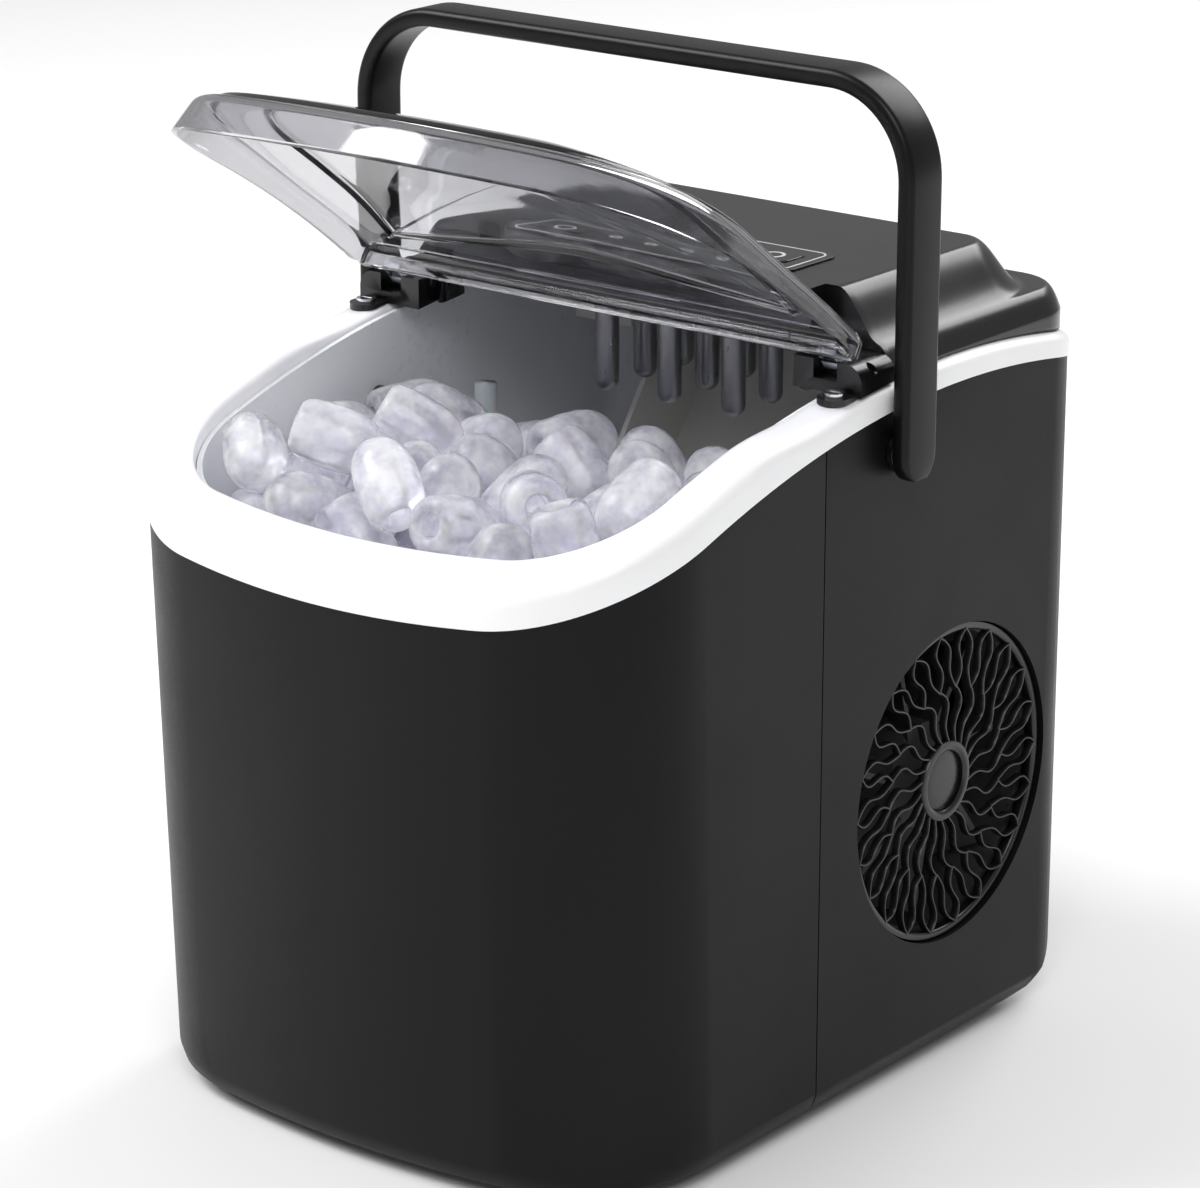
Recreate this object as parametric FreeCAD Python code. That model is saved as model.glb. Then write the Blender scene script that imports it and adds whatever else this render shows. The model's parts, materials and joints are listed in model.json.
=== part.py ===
import FreeCAD
import Part
import math
import os
import random

# Countertop bullet-ice maker. Millimetres, Z up, front is -Y, right is +X.
# Origin: bottom centre of the whole machine, on the plane the feet stand on.

# ---- driving dimensions -------------------------------------------------
half_w = 111.0          # half width of the cabinet
half_d = 145.5          # half depth of the cabinet
front_r = 58.0          # front vertical corner radius
bow_r = 372.4           # slight outward bow of the front panel
rear_r = 27.0           # rear vertical corner radius
setback = 6.6           # front panel leans back by this much at the bottom
heel_r = 50.0           # big rounding under the rear
wall = 2.4              # moulded wall
foot_h = 3.0
seam_y = -18.3          # joint between front and rear shell
rim_crest = 248.4       # highest point of the white collar's lower edge
rim_crest_y = 58.0
rim_curve = 0.00119     # the collar edge is a parabola falling to the front
collar_h = 9.0          # outer face of the collar
collar_crown = 13.0     # crest of the collar around the ice bin
collar_w = 16.0         # width of the collar seen from above
collar_step = -14.0     # the collar is lower behind this line, under the hinge
tub_back = 7.0          # front face of the ice bin's rear wall
cover_z = 284.5         # flat top of the rear cover
cover_y = 11.3          # front face of the rear cover
fan_y = 61.0
fan_z = 102.5
grille_r = 57.7
lid_y = 10.6            # lid hinge axis
lid_z = 262.0
lid_open = 48.0         # travel of the lid above its closed pose, degrees
lid_inset = 0.7         # lid edge inside the cabinet's outline
lid_rear = 1.9          # rear edge of the lid
lid_wall = 2.4          # clear moulding of the lid
screw_x = 102.5         # hinge screw beside the lid
screw_y = -2.6
block_y = 2.5           # front face of the hinge blocks, clear of the swinging lid
screw_seat = 254.6      # face under the screw's head
lid_pin_r = 2.0
handle_y = 23.0         # handle pivot
handle_z = 232.0
handle_x = 120.5        # outer face of the handle legs
handle_top = 359.0
handle_t = 6.5
handle_w = 19.0
handle_r = 35.0
tray_y = 98.0           # water tray shaft
tray_z = 251.0
tray_drop = 55.0        # tray hangs this far below its freezing pose at rest
finger_r = 4.25
finger_pitch_x = 28.0
finger_pitch_y = 22.0
finger_y = 64.0
bullet_r = 11.4         # ice bullets
bullet_half = 5.2       # half the distance between the centres of a bullet's two ends

X = FreeCAD.Vector(1, 0, 0)
Y = FreeCAD.Vector(0, 1, 0)
Z = FreeCAD.Vector(0, 0, 1)


def V(x, y, z):
    return FreeCAD.Vector(x, y, z)


def box(x0, x1, y0, y1, z0, z1):
    return Part.makeBox(x1 - x0, y1 - y0, z1 - z0, V(x0, y0, z0))


def cyl(r, p, axis, h):
    return Part.makeCylinder(r, h, p, axis)


def line(a, b):
    return Part.makeLine(a, b)


def arc(a, b, c):
    return Part.Arc(a, b, c).toShape()


def mirror_x(shape):
    return shape.mirror(V(0, 0, 0), X)


def both(shape):
    return shape.fuse(mirror_x(shape))


def rod(points, r):
    """Round bar through the given points."""
    out = None
    for a, b in zip(points[:-1], points[1:]):
        d = b.sub(a)
        s = cyl(r, a, d, d.Length)
        out = s if out is None else out.fuse(s)
    for p in points[1:-1]:
        out = out.fuse(Part.makeSphere(r, p))
    return out


# ---- cabinet envelope ----------------------------------------------------
def plan_wire(i, z, s=0.0):
    """Cabinet outline seen from above, inset by i, front set back by s."""
    cx = half_w - front_r
    cy = front_r - (half_d - 4.5) + s
    bow_y = bow_r - half_d + s
    d = math.hypot(cx, bow_y - cy)
    ux = cx / d
    uy = (cy - bow_y) / d
    r = front_r - i
    x = half_w - i
    t = V(cx + r * ux, cy + r * uy, z)
    a = math.radians(-40)
    m = V(cx + r * math.cos(a), cy + r * math.sin(a), z)
    f = V(0, -half_d + s + i, z)
    q = rear_r - i
    rx = half_w - rear_r
    ry = half_d - rear_r
    k = q * math.sqrt(0.5)
    back = half_d - i
    edges = [line(V(x, ry, z), V(x, cy, z)),
             arc(V(x, cy, z), m, t),
             arc(t, f, V(-t.x, t.y, z)),
             arc(V(-t.x, t.y, z), V(-m.x, m.y, z), V(-x, cy, z)),
             line(V(-x, cy, z), V(-x, ry, z)),
             arc(V(-x, ry, z), V(-rx - k, ry + k, z), V(-rx, back, z)),
             line(V(-rx, back, z), V(rx, back, z)),
             arc(V(rx, back, z), V(rx + k, ry + k, z), V(x, ry, z))]
    return Part.Wire(edges)


def plan(i, z0, z1):
    return Part.Face(plan_wire(i, z0)).extrude(V(0, 0, z1 - z0))


def heel(i):
    """Side-view envelope with the rounded heel at the rear."""
    y = half_d - i
    z = foot_h + i
    r = heel_r - i
    k = r * math.sqrt(0.5)
    cy = half_d - heel_r
    cz = foot_h + heel_r
    w = Part.Wire([line(V(-150, -200, z), V(-150, cy, z)),
                   arc(V(-150, cy, z), V(-150, cy + k, cz - k), V(-150, y, cz)),
                   line(V(-150, y, cz), V(-150, y, 400)),
                   line(V(-150, y, 400), V(-150, -200, 400)),
                   line(V(-150, -200, 400), V(-150, -200, z))])
    return Part.Face(w).extrude(V(300, 0, 0))


def cabinet(i):
    """Solid cabinet envelope inset by i, with its rolled bottom edge."""
    stations = [(foot_h + i, 8.0, setback), (foot_h + 1.2 + i, 4.4, setback),
                (foot_h + 4.0 + i * 0.6, 1.6, setback), (foot_h + 9.0, 0.0, setback),
                (205.0, 0.0, 0.0), (300.0, 0.0, 0.0)]
    wires = [plan_wire(i + more, z, s) for z, more, s in stations]
    return Part.makeLoft(wires, True, True).common(heel(i))


# ---- collar line -----------------------------------------------------------
def rim(y):
    """Height of the collar's lower edge at depth y."""
    return rim_crest - rim_curve * (rim_crest_y - y) ** 2


def rim_edge(dz, x, y0=-170.0, y1=170.0):
    z0 = rim(y0) + dz
    slope = 2 * rim_curve * (rim_crest_y - y0)
    c = Part.BezierCurve()
    c.setPoles([V(x, y0, z0), V(x, (y0 + y1) / 2, z0 + slope * (y1 - y0) / 2),
                V(x, y1, rim(y1) + dz)])
    return c.toShape()


def above(dz):
    e = rim_edge(dz, -170)
    a = e.Vertexes[0].Point
    b = e.Vertexes[1].Point
    w = Part.Wire([e, line(b, V(-170, b.y, 420)),
                   line(V(-170, b.y, 420), V(-170, a.y, 420)),
                   line(V(-170, a.y, 420), a)])
    return Part.Face(w).extrude(V(340, 0, 0))


def slab(dz0, dz1):
    return above(dz0).cut(above(dz1))


def under(fn, x0, x1, y0, y1, depth, nx=25, ny=25):
    """Everything below the smooth surface z = fn(x, y)."""
    grid = []
    for i in range(nx):
        x = x0 + (x1 - x0) * i / (nx - 1)
        row = []
        for j in range(ny):
            y = y0 + (y1 - y0) * j / (ny - 1)
            row.append(V(x, y, fn(x, y)))
        grid.append(row)
    s = Part.BSplineSurface()
    s.interpolate(grid)
    return s.toShape().extrude(V(0, 0, -depth))


# ---- shells ------------------------------------------------------------------
def shells():
    skin = cabinet(0.0).cut(cabinet(wall)).cut(above(0.0))
    front = skin.common(box(-130, 130, -170, seam_y - 0.2, -5, 300))
    rear = skin.common(box(-130, 130, seam_y + 0.2, 170, -5, 300))
    rear = rear.cut(cyl(grille_r, V(100, fan_y, fan_z), X, 20))
    for k in range(11):
        z = 60 + 8 * k
        rear = rear.cut(box(-115, -100, 30, 96, z, z + 3.2))
    rear = rear.cut(cyl(7.0, V(-70, 160, 75), V(0, -1, 0), 30))
    drain = cyl(11.0, V(-120, -60, 72), X, 20)
    pivot = cyl(4.4, V(100, handle_y, handle_z), X, 20)
    rear = rear.cut(both(pivot))
    return front.cut(drain), rear


def base_pan():
    return cabinet(wall + 0.4).common(box(-130, 130, -170, 92, 0, 8.4))


def feet():
    parts = []
    for x in (-72, 72):
        for y in (-104, 80):
            parts.append(cyl(9.0, V(x, y, 0), Z, foot_h))
    return Part.makeCompound(parts)


def rim_collar():
    ring = plan(-0.7, 150, 320).cut(plan(collar_w, 150, 320))
    front = ring.common(slab(0.0, collar_crown)).common(box(-150, 150, -170, collar_step, 100, 320))
    rear = ring.common(slab(0.0, collar_h)).common(box(-150, 150, collar_step, 170, 100, 320))
    tops = []
    for e in front.Edges:
        b = e.BoundBox
        mid = e.valueAt((e.FirstParameter + e.LastParameter) / 2)
        high = mid.z > rim(mid.y) + collar_crown - 0.3
        if high and b.YMin < collar_step - 0.5 and b.DiagonalLength > 30 and outer_distance(mid) < 1.5:
            tops.append(e)
    front = front.makeFillet(5.0, tops)
    return front.fuse(rear).removeSplitter()


def outer_distance(p):
    """Rough distance from a point in to the cabinet's outline."""
    cx = half_w - front_r
    cy = front_r - (half_d - 4.5)
    if p.y < cy and abs(p.x) > cx:
        return front_r - math.hypot(abs(p.x) - cx, p.y - cy)
    return min(half_w - abs(p.x), p.y + half_d)


def bin_liner():
    outer = plan(collar_w + 0.3, 60, 300)
    outer = outer.common(box(-130, 130, -170, tub_back + 2, 60, 300).fuse(box(-130, 130, -170, 130, 165, 300)))
    inner = plan(collar_w + 2.3, 60, 300)
    inner = inner.common(box(-130, 130, -170, tub_back, 62, 300).fuse(box(-130, 130, -170, 128, 167, 300)))
    tub = outer.cut(inner).cut(above(collar_h - 2))
    tub = tub.cut(cyl(4.6, V(-66, 20, 150), Z, 30)).cut(cyl(3.4, V(66, 118, 150), Z, 30))
    tub = tub.cut(cyl(6.3, V(-110, -60, 72), X, 30))
    return tub


def foam_jacket():
    jacket = cabinet(wall + 0.6).cut(plan(collar_w, 60, 301))
    jacket = jacket.common(box(-130, 130, -170, seam_y - 2, 66, 300)).cut(above(-1.0))
    return jacket.cut(cyl(8.6, V(-120, -60, 72), X, 40))


# ---- rear cover -----------------------------------------------------------------
def smooth(t):
    t = max(0.0, min(1.0, t))
    return t * t * (3 - 2 * t)


def cover_top(x, y, drop=0.0):
    """Flat top falling through a hollow curve to a rounded shoulder."""
    u = max(abs(x) - 76.0, 0.0)
    v = max((y - 98.0) * 0.8, (26.0 - y) * 0.62, 0.0)
    z = cover_z - 17.5 * smooth((math.hypot(u, v) - 10.0) / 17.0)
    qx = abs(x) - (half_w - rear_r)
    qy = y - (half_d - rear_r)
    edge = rear_r - 3.0 - (math.hypot(qx, qy) if min(qx, qy) > 0 else max(qx, qy))
    z -= 0.24 * min(max(6.0 - edge, 0.0), 9.0) ** 2
    return z - drop


def top_cover():
    lo = rim(half_d) - 10
    region = box(-130, 130, cover_y, 170, lo, 300).cut(box(80.5, 130, 0, 22.5, lo, 300))
    region = region.cut(box(-130, -80.5, 0, 22.5, lo, 300))
    outer = plan(3.0, lo, 300).common(region).common(above(collar_h + 0.05))
    outer = outer.common(under(cover_top, -116, 116, -2, 150, 100, 45, 33))
    inner = plan(5.6, lo - 5, 300).common(box(-130, 130, cover_y + wall, 170, lo - 5, 300))
    inner = inner.cut(box(78, 130, 0, 25, lo - 6, 301)).cut(box(-130, -78, 0, 25, lo - 6, 301))
    inner = inner.common(under(lambda x, y: cover_top(x, y, 2.6), -116, 116, -2, 150, 120, 45, 33))
    cover = outer.cut(inner).cut(box(-77, 77, 0, cover_y + 5.1, lo, 265))
    for x in (-45, 45):
        cover = cover.cut(key_block(x, 0.35, 276, 290))
    return cover


def key_block(x, grow, z0, z1):
    return box(x - 9 - grow, x + 9 + grow, 36 - grow, 47 + grow, z0, z1)


def control_overlay():
    sheet = box(-62, 62, 26, 57, cover_z + 0.02, cover_z + 0.6)
    edges = [e for e in sheet.Edges if abs(e.BoundBox.ZLength - 0.58) < 0.01]
    sheet = sheet.makeFillet(5.0, edges)
    for x in (-45, 45):
        sheet = sheet.cut(key_block(x, 0.35, 276, 290))
    return sheet


def key(x):
    cap = key_block(x, 0.0, 279.6, cover_z + 1.0)
    edges = [e for e in cap.Edges if e.BoundBox.ZLength > 2]
    return cap.makeFillet(2.0, edges)


def control_board():
    board = box(-58, 58, 24, 60, 275.0, 276.6)
    for x in (-45, 45):
        board = board.fuse(box(x - 3, x + 3, 38.5, 44.5, 276.6, 278.4))
    return board.fuse(box(-20, 10, 30, 42, 276.6, 279))


# ---- lid --------------------------------------------------------------------------
def lid_top(x, y, drop=0.0):
    """The wall grows from the hinge to the front, and the roof is crowned between the walls."""
    side_wall = 9.0 + 8.5 * smooth((-y - 40.0) / 105.0)
    across = 1 - min(abs(x) / 110.0, 1.0) ** 2.4
    fore = 1 - math.exp(-max(y + 145.0, 0.0) / 22.0)
    aft = 1 - 0.9 * smooth((y + 50) / 50.0)
    return rim(y) + collar_crown + 0.4 + side_wall + 9.0 * across * fore * aft - drop


def lid_shell():
    front = box(-130, 130, -170, lid_rear, 150, 320)
    outer = plan(lid_inset, 150, 320).common(front).common(above(collar_crown + 0.4))
    outer = outer.common(under(lid_top, -125, 125, -160, 5, 140))
    inner = plan(lid_inset + lid_wall, 140, 330).common(box(-130, 130, -170, lid_rear - lid_wall, 150, 320))
    inner = inner.common(under(lambda x, y: lid_top(x, y, lid_wall), -125, 125, -160, 5, 160))
    lid = outer.cut(inner)
    lug = cyl(3.6, V(90.6, lid_y, lid_z), X, 8.8)
    lug = lug.fuse(box(90.6, 99.4, lid_rear - 1.5, lid_y, lid_z - 2.8, lid_z + 2.6))
    lug = lug.cut(cyl(lid_pin_r + 0.06, V(80, lid_y, lid_z), X, 40))
    return lid.fuse(both(lug))


def opened(shape):
    s = shape.copy()
    s.rotate(V(0, lid_y, lid_z), X, -lid_open)
    return s


def hinge_block():
    base = rim(block_y) + collar_h - 1
    body = box(82, 109.6, block_y, 22, base, 264.5).common(above(collar_h + 0.05))
    edge = [e for e in body.Edges if e.BoundBox.YLength > 10 and e.BoundBox.XMin > 109
            and e.BoundBox.ZMin > 264]
    body = body.makeFillet(6.0, edge)
    tab = cyl(5.8, V(screw_x, screw_y, 250), Z, screw_seat - 250)
    tab = tab.fuse(box(screw_x - 5.8, screw_x + 5.8, screw_y, block_y + 0.8, 250, screw_seat))
    tab = tab.common(above(collar_h + 0.05))
    body = body.fuse(tab)
    body = body.cut(box(90.2, 99.8, 0, lid_y + 4.2, 258.0, 290))
    body = body.cut(cyl(lid_pin_r, V(80, lid_y, lid_z), X, 32))
    return body.cut(cyl(1.6, V(screw_x, screw_y, 240), Z, 40))


def hinge_pins():
    pin = cyl(lid_pin_r - 0.02, V(84, lid_y, lid_z), X, 21)
    return Part.makeCompound([pin, mirror_x(pin)])


def hinge_screw(x):
    s = cyl(3.4, V(x, screw_y, screw_seat), Z, 1.5)
    s = s.fuse(cyl(1.55, V(x, screw_y, 253.3), Z, screw_seat - 253.3))
    return s.cut(box(x - 2.4, x + 2.4, screw_y - 0.4, screw_y + 0.4, screw_seat + 0.9, 270))


def hinge_screws():
    return Part.makeCompound([hinge_screw(screw_x), hinge_screw(-screw_x)])


# ---- handle ---------------------------------------------------------------------------
def handle_outline(inset, foot):
    x = handle_x - inset
    z = handle_top - inset
    r = handle_r - inset
    k = r * (1 - math.sqrt(0.5))
    y = handle_y - handle_w / 2
    return [line(V(-x, y, foot), V(-x, y, z - r)),
            arc(V(-x, y, z - r), V(-x + k, y, z - k), V(-x + r, y, z)),
            line(V(-x + r, y, z), V(x - r, y, z)),
            arc(V(x - r, y, z), V(x - k, y, z - k), V(x, y, z - r)),
            line(V(x, y, z - r), V(x, y, foot))]


def carry_handle():
    out = handle_outline(0.0, handle_z)
    ins = handle_outline(handle_t, handle_z)
    y = handle_y - handle_w / 2
    a = handle_x
    b = handle_x - handle_t
    close = [line(V(-a, y, handle_z), V(-b, y, handle_z)), line(V(a, y, handle_z), V(b, y, handle_z))]
    wire = Part.Wire(Part.__sortEdges__(out + ins + close))
    bar = Part.Face(wire).extrude(V(0, handle_w, 0))
    end = cyl(handle_w / 2, V(b, handle_y, handle_z), X, handle_t)
    bar = bar.fuse(both(end)).removeSplitter()
    edges = [e for e in bar.Edges if e.BoundBox.YLength < 0.01 and e.BoundBox.DiagonalLength > 20]
    bar = bar.makeFillet(1.6, edges)
    return bar.cut(both(cyl(4.05, V(105, handle_y, handle_z), X, 13.5)))


def handle_pivots():
    pin = cyl(4.0, V(104, handle_y, handle_z), X, 14.2)
    return Part.makeCompound([pin, mirror_x(pin)])


def handle_washers():
    w = cyl(7.5, V(111.05, handle_y, handle_z), X, 2.6).cut(cyl(4.0, V(100, handle_y, handle_z), X, 20))
    return Part.makeCompound([w, mirror_x(w)])


# ---- fan side ------------------------------------------------------------------------------
def rib(r0, r1, a0, a1, t, bend):
    """Curved flat rib from radius r0 to r1 in the grille plane."""
    def pt(r, a, off):
        c = math.cos(a)
        s = math.sin(a)
        return V(0, r * c - off * s, r * s + off * c)
    am = (a0 + a1) / 2 + bend
    rm = (r0 + r1) / 2
    h = t / 2
    e1 = arc(pt(r0, a0, h), pt(rm, am, h), pt(r1, a1, h))
    e2 = arc(pt(r1, a1, -h), pt(rm, am, -h), pt(r0, a0, -h))
    w = Part.Wire([e1, line(pt(r1, a1, h), pt(r1, a1, -h)), e2, line(pt(r0, a0, -h), pt(r0, a0, h))])
    return Part.Face(w).extrude(V(2.6, 0, 0))


def fan_grille():
    ring = cyl(grille_r - 0.3, V(0, 0, 0), X, 4.0).cut(cyl(54.0, V(-1, 0, 0), X, 6))
    hub = cyl(14.5, V(0, 0, 0), X, 3.2)
    parts = [hub]
    n = 22
    for k in range(n):
        a = 2 * math.pi * k / n
        parts.append(rib(13.5, 33.5, a, a + 0.16, 1.3, 0.07))
        for side in (-1, 1):
            parts.append(rib(32.6, 55.0, a + 0.16, a + 0.16 + side * 0.07 + 0.10, 1.3, -0.05 * side))
    g = ring.multiFuse(parts)
    g.translate(V(105.6, fan_y, fan_z))
    return g


def fan_bracket():
    ring = cyl(56.5, V(80, 0, 0), X, 24).cut(cyl(53.5, V(79, 0, 0), X, 26))
    boss = cyl(19.0, V(77, 0, 0), X, 2.6)
    parts = [boss]
    for k in range(4):
        arm = box(77, 79.6, 17, 56.2, -3, 3)
        arm.rotate(V(0, 0, 0), X, 45 + 90 * k)
        parts.append(arm)
        stay = box(77, 81, 53.6, 56.2, -3, 3)
        stay.rotate(V(0, 0, 0), X, 45 + 90 * k)
        parts.append(stay)
    b = ring.multiFuse(parts).cut(cyl(3.2, V(70, 0, 0), X, 20))
    b.translate(V(0, fan_y, fan_z))
    return b.cut(box(60, 120, -10, tub_back + 3, 0, 200))


def fan_motor():
    m = cyl(17.0, V(57, 0, 0), X, 19.8).fuse(cyl(2.5, V(70, 0, 0), X, 26))
    m.translate(V(0, fan_y, fan_z))
    return m


def fan_rotor():
    hub = cyl(19.0, V(81.5, 0, 0), X, 16)
    hub = hub.cut(cyl(16.8, V(80, 0, 0), X, 10))
    parts = []
    for k in range(7):
        blade = box(-1.0, 1.0, 17.5, 50.0, -15, 15)
        blade.rotate(V(0, 0, 0), Y, 58)
        blade.translate(V(89.5, 0, 0))
        keep = cyl(50.0, V(80.8, 0, 0), X, 18.5)
        blade = blade.common(keep)
        blade.rotate(V(0, 0, 0), X, 360.0 * k / 7)
        parts.append(blade.cut(cyl(18.0, V(80, 0, 0), X, 30)))
    r = hub.multiFuse(parts).cut(cyl(2.56, V(80, 0, 0), X, 17))
    r.translate(V(0, fan_y, fan_z))
    return r


def intake_screen():
    return box(-107.9, -106.6, 24, 102, 54, 150)


def condenser():
    tubes = []
    for z in (62, 80, 98, 116, 134, 150):
        tubes.append(cyl(2.5, V(44, 14, z), Y, 98))
    fins = [box(36, 53, 18 + 7 * k, 18.9 + 7 * k, 52, 158) for k in range(13)]
    return tubes[0].multiFuse(tubes[1:] + fins)


def compressor():
    can = cyl(46.0, V(-42, 72, 18), Z, 92).fuse(Part.makeCone(46.0, 30.0, 14, V(-42, 72, 110), Z))
    hollow = cyl(43.0, V(-42, 72, 21), Z, 89).fuse(Part.makeCone(43.0, 29.0, 11, V(-42, 72, 110), Z))
    pump = cyl(30.0, V(-42, 72, 20), Z, 42)
    plate = box(-92, 8, 40, 104, 15, 18)
    cap = cyl(9, V(-42, 72, 122), Z, 10)
    return can.cut(hollow).fuse(pump).fuse(plate).fuse(cap)


def compressor_mounts():
    spots = ((-84, 48), (-84, 96), (0, 48), (0, 96))
    return Part.makeCompound([cyl(6.5, V(x, y, 8.45), Z, 6.5) for x, y in spots])


def refrigerant_line():
    path = [V(38, 96.2, 268), V(38, 108, 268), V(66, 110, 266), V(66, 118, 256), V(66, 118, 132),
            V(52, 124, 118), V(-42, 124, 100), V(-42, 118.3, 100)]
    return rod(path, 2.8)


# ---- ice making ----------------------------------------------------------------------------
def evaporator_plate():
    p = box(-44, 44, 30, 96, 265, 271)
    p = p.fuse(box(-92.6, 92.6, 56, 68, 266, 270))
    return p


def evaporator_fingers():
    out = []
    for i in (-1, 0, 1):
        for j in (-1, 0, 1):
            x = i * finger_pitch_x
            y = finger_y + j * finger_pitch_y
            z = 225 + finger_r
            f = cyl(finger_r, V(x, y, z), Z, 265 - z).fuse(Part.makeSphere(finger_r, V(x, y, z)))
            out.append(f)
    return Part.makeCompound(out)


def tray_posed(shape):
    s = shape.copy()
    s.rotate(V(0, tray_y, tray_z), X, tray_drop)
    return s


def water_tray():
    t = box(-40, 40, 30, 97, 217, 250).cut(box(-38, 38, 32, 95, 219, 260))
    ear = box(36, 40, 91, 101, 244, 251).fuse(cyl(5.0, V(36, tray_y, tray_z), X, 4))
    t = t.fuse(both(ear)).cut(cyl(3.02, V(-60, tray_y, tray_z), X, 120))
    return tray_posed(t)


def tray_comb():
    teeth = [box(x - 4, x + 4, 28.0, 29.9, 238, 254) for x in (-28, -14, 0, 14, 28)]
    bar = box(-38, 38, 28.0, 29.9, 234, 240)
    return tray_posed(bar.multiFuse(teeth))


def tray_shaft():
    return cyl(3.0, V(-62, tray_y, tray_z), X, 118)


def tray_motor():
    m = box(-76, -50, 84, 114, 236, 263).fuse(box(-92.6, -76, 88, 110, 240, 246))
    return m.cut(cyl(3.06, V(-64, tray_y, tray_z), X, 30))


def tray_bearing():
    b = box(50, 54, 90, 106, 240, 259).fuse(box(54, 92.6, 92, 104, 240, 245))
    return b.cut(cyl(3.06, V(40, tray_y, tray_z), X, 20))


def ice_sensors():
    s = cyl(4.5, V(-92.6, -8, 222), X, 3.4).fuse(cyl(2.5, V(-89.4, -8, 222), X, 2))
    return Part.makeCompound([s, mirror_x(s)])


def ice_basket():
    top = 198.0
    outer = plan(21.0, 118, top).common(box(-130, 130, -170, 6.3, 100, 300))
    inner = plan(22.8, 120, top + 5).common(box(-130, 130, -170, 4.5, 100, 300))
    b = outer.cut(inner)
    for k in range(7):
        x = -72 + 24 * k - 7
        b = b.cut(box(x, x + 14, 0, 20, 140, 170))
    for k in range(5):
        y = -90 + 18 * k
        b = b.cut(box(-120, 120, y, y + 8, 140, 170))
    for i in range(6):
        for j in range(4):
            b = b.cut(cyl(5.0, V(-65 + 26 * i, -85 + 24 * j, 110), Z, 20))
    return b


def settle(count, seed):
    """Let two-ball bullets fall into the basket and pile up; returns their end centres."""
    rnd = random.Random(seed)
    r = bullet_r + 0.55
    half = bullet_half
    ends = []
    for _ in range(count):
        x = rnd.uniform(-70, 70)
        y = rnd.uniform(-108, -10)
        z = rnd.uniform(136, 330)
        a = rnd.uniform(0, 2 * math.pi)
        c = rnd.uniform(-0.8, 0.8)
        s = math.sqrt(1 - c * c)
        d = (half * s * math.cos(a), half * s * math.sin(a), half * c)
        ends.append([x + d[0], y + d[1], z + d[2]])
        ends.append([x - d[0], y - d[1], z - d[2]])
    n = len(ends)
    for step in range(520):
        fall = 1.3 if step < 300 else (0.35 if step < 430 else 0.0)
        for p in ends:
            p[2] -= fall
        relax(ends, n, r)
        for k in range(0, n, 2):
            keep_length(ends[k], ends[k + 1], 2 * half)
        for p in ends:
            keep_inside(p, r)
    return ends, r


def relax(ends, n, r):
    dd = 4 * r * r
    for i in range(n):
        a = ends[i]
        for j in range(i + 1 + (1 - i % 2), n):
            b = ends[j]
            dz = a[2] - b[2]
            if dz > 2 * r or dz < -2 * r:
                continue
            dx = a[0] - b[0]
            dy = a[1] - b[1]
            q = dx * dx + dy * dy + dz * dz
            if q < dd and q > 1e-6:
                q = math.sqrt(q)
                k = (2 * r - q) / q * 0.5
                a[0] += dx * k
                a[1] += dy * k
                a[2] += dz * k
                b[0] -= dx * k
                b[1] -= dy * k
                b[2] -= dz * k


def keep_length(a, b, length):
    d = [a[k] - b[k] for k in range(3)]
    q = math.sqrt(sum(v * v for v in d)) or 1.0
    f = (q - length) / q * 0.5
    for k in range(3):
        a[k] -= d[k] * f
        b[k] += d[k] * f


def keep_inside(p, r):
    side = half_w - 23.2 - r
    p[0] = max(-side, min(side, p[0]))
    p[1] = max(-half_d + 26.5 + r, min(4.0 - r, p[1]))
    p[2] = max(120.5 + r, p[2])
    cx = half_w - front_r
    cy = front_r - (half_d - 4.5)
    reach = front_r - 23.4 - r
    if abs(p[0]) > cx and p[1] < cy:
        d = math.hypot(abs(p[0]) - cx, p[1] - cy)
        if d > reach:
            s = 1 if p[0] > 0 else -1
            p[0] = s * (cx + (abs(p[0]) - cx) * reach / d)
            p[1] = cy + (p[1] - cy) * reach / d


def bullet():
    r = bullet_r
    pts = [(0, 16.8), (4.6, 15.8), (8.3, 12.8), (10.7, 8.6), (r, 3.4), (r, -5.0),
           (10.9, -10.0), (9.6, -13.4), (7.4, -15.4), (0, -15.4)]
    vs = [V(x, 0, z) for x, z in pts]
    face = Part.Face(Part.makePolygon(vs + [vs[0]]))
    return face.revolve(V(0, 0, 0), Z, 360)


def ice_bullets():
    ends, r = settle(134, 7)
    out = []
    proto = bullet()
    for k in range(0, len(ends), 2):
        a = V(*ends[k])
        b = V(*ends[k + 1])
        if abs(a.distanceToPoint(b) - 2 * bullet_half) > 0.7:
            continue
        c = a.add(b).multiply(0.5)
        top = max(a.z, b.z) + r
        roof = min(lid_top(c.x - 9, c.y, 3.4), lid_top(c.x + 9, c.y, 3.4),
                   lid_top(c.x, max(c.y - 9, -140), 3.4))
        if top > roof - 1.0:
            continue
        s = proto.copy()
        s.Placement = FreeCAD.Placement(c, FreeCAD.Rotation(Z, a.sub(b)))
        out.append(s)
    print("bullets", len(out))
    return Part.makeCompound(out)


# ---- water and electrics ------------------------------------------------------------------------
def water_pump():
    p = box(-18, 18, -72, -38, 9, 40).fuse(cyl(14, V(0, -55, 40), Z, 12))
    return p


def pump_hose():
    path = [V(-18.2, -55, 28), V(-66, -55, 28), V(-66, 20, 28), V(-66, 20, 226)]
    return rod(path, 4.0)


def main_board():
    b = box(97.5, 99.1, 24, 112, 174, 236)
    parts = [box(99.1, 104, 30, 50, 180, 205), cyl(5, V(99.1, 70, 195), X, 6),
             cyl(5, V(99.1, 84, 195), X, 6), box(99.1, 103, 60, 100, 212, 228)]
    return b.multiFuse(parts)


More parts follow.
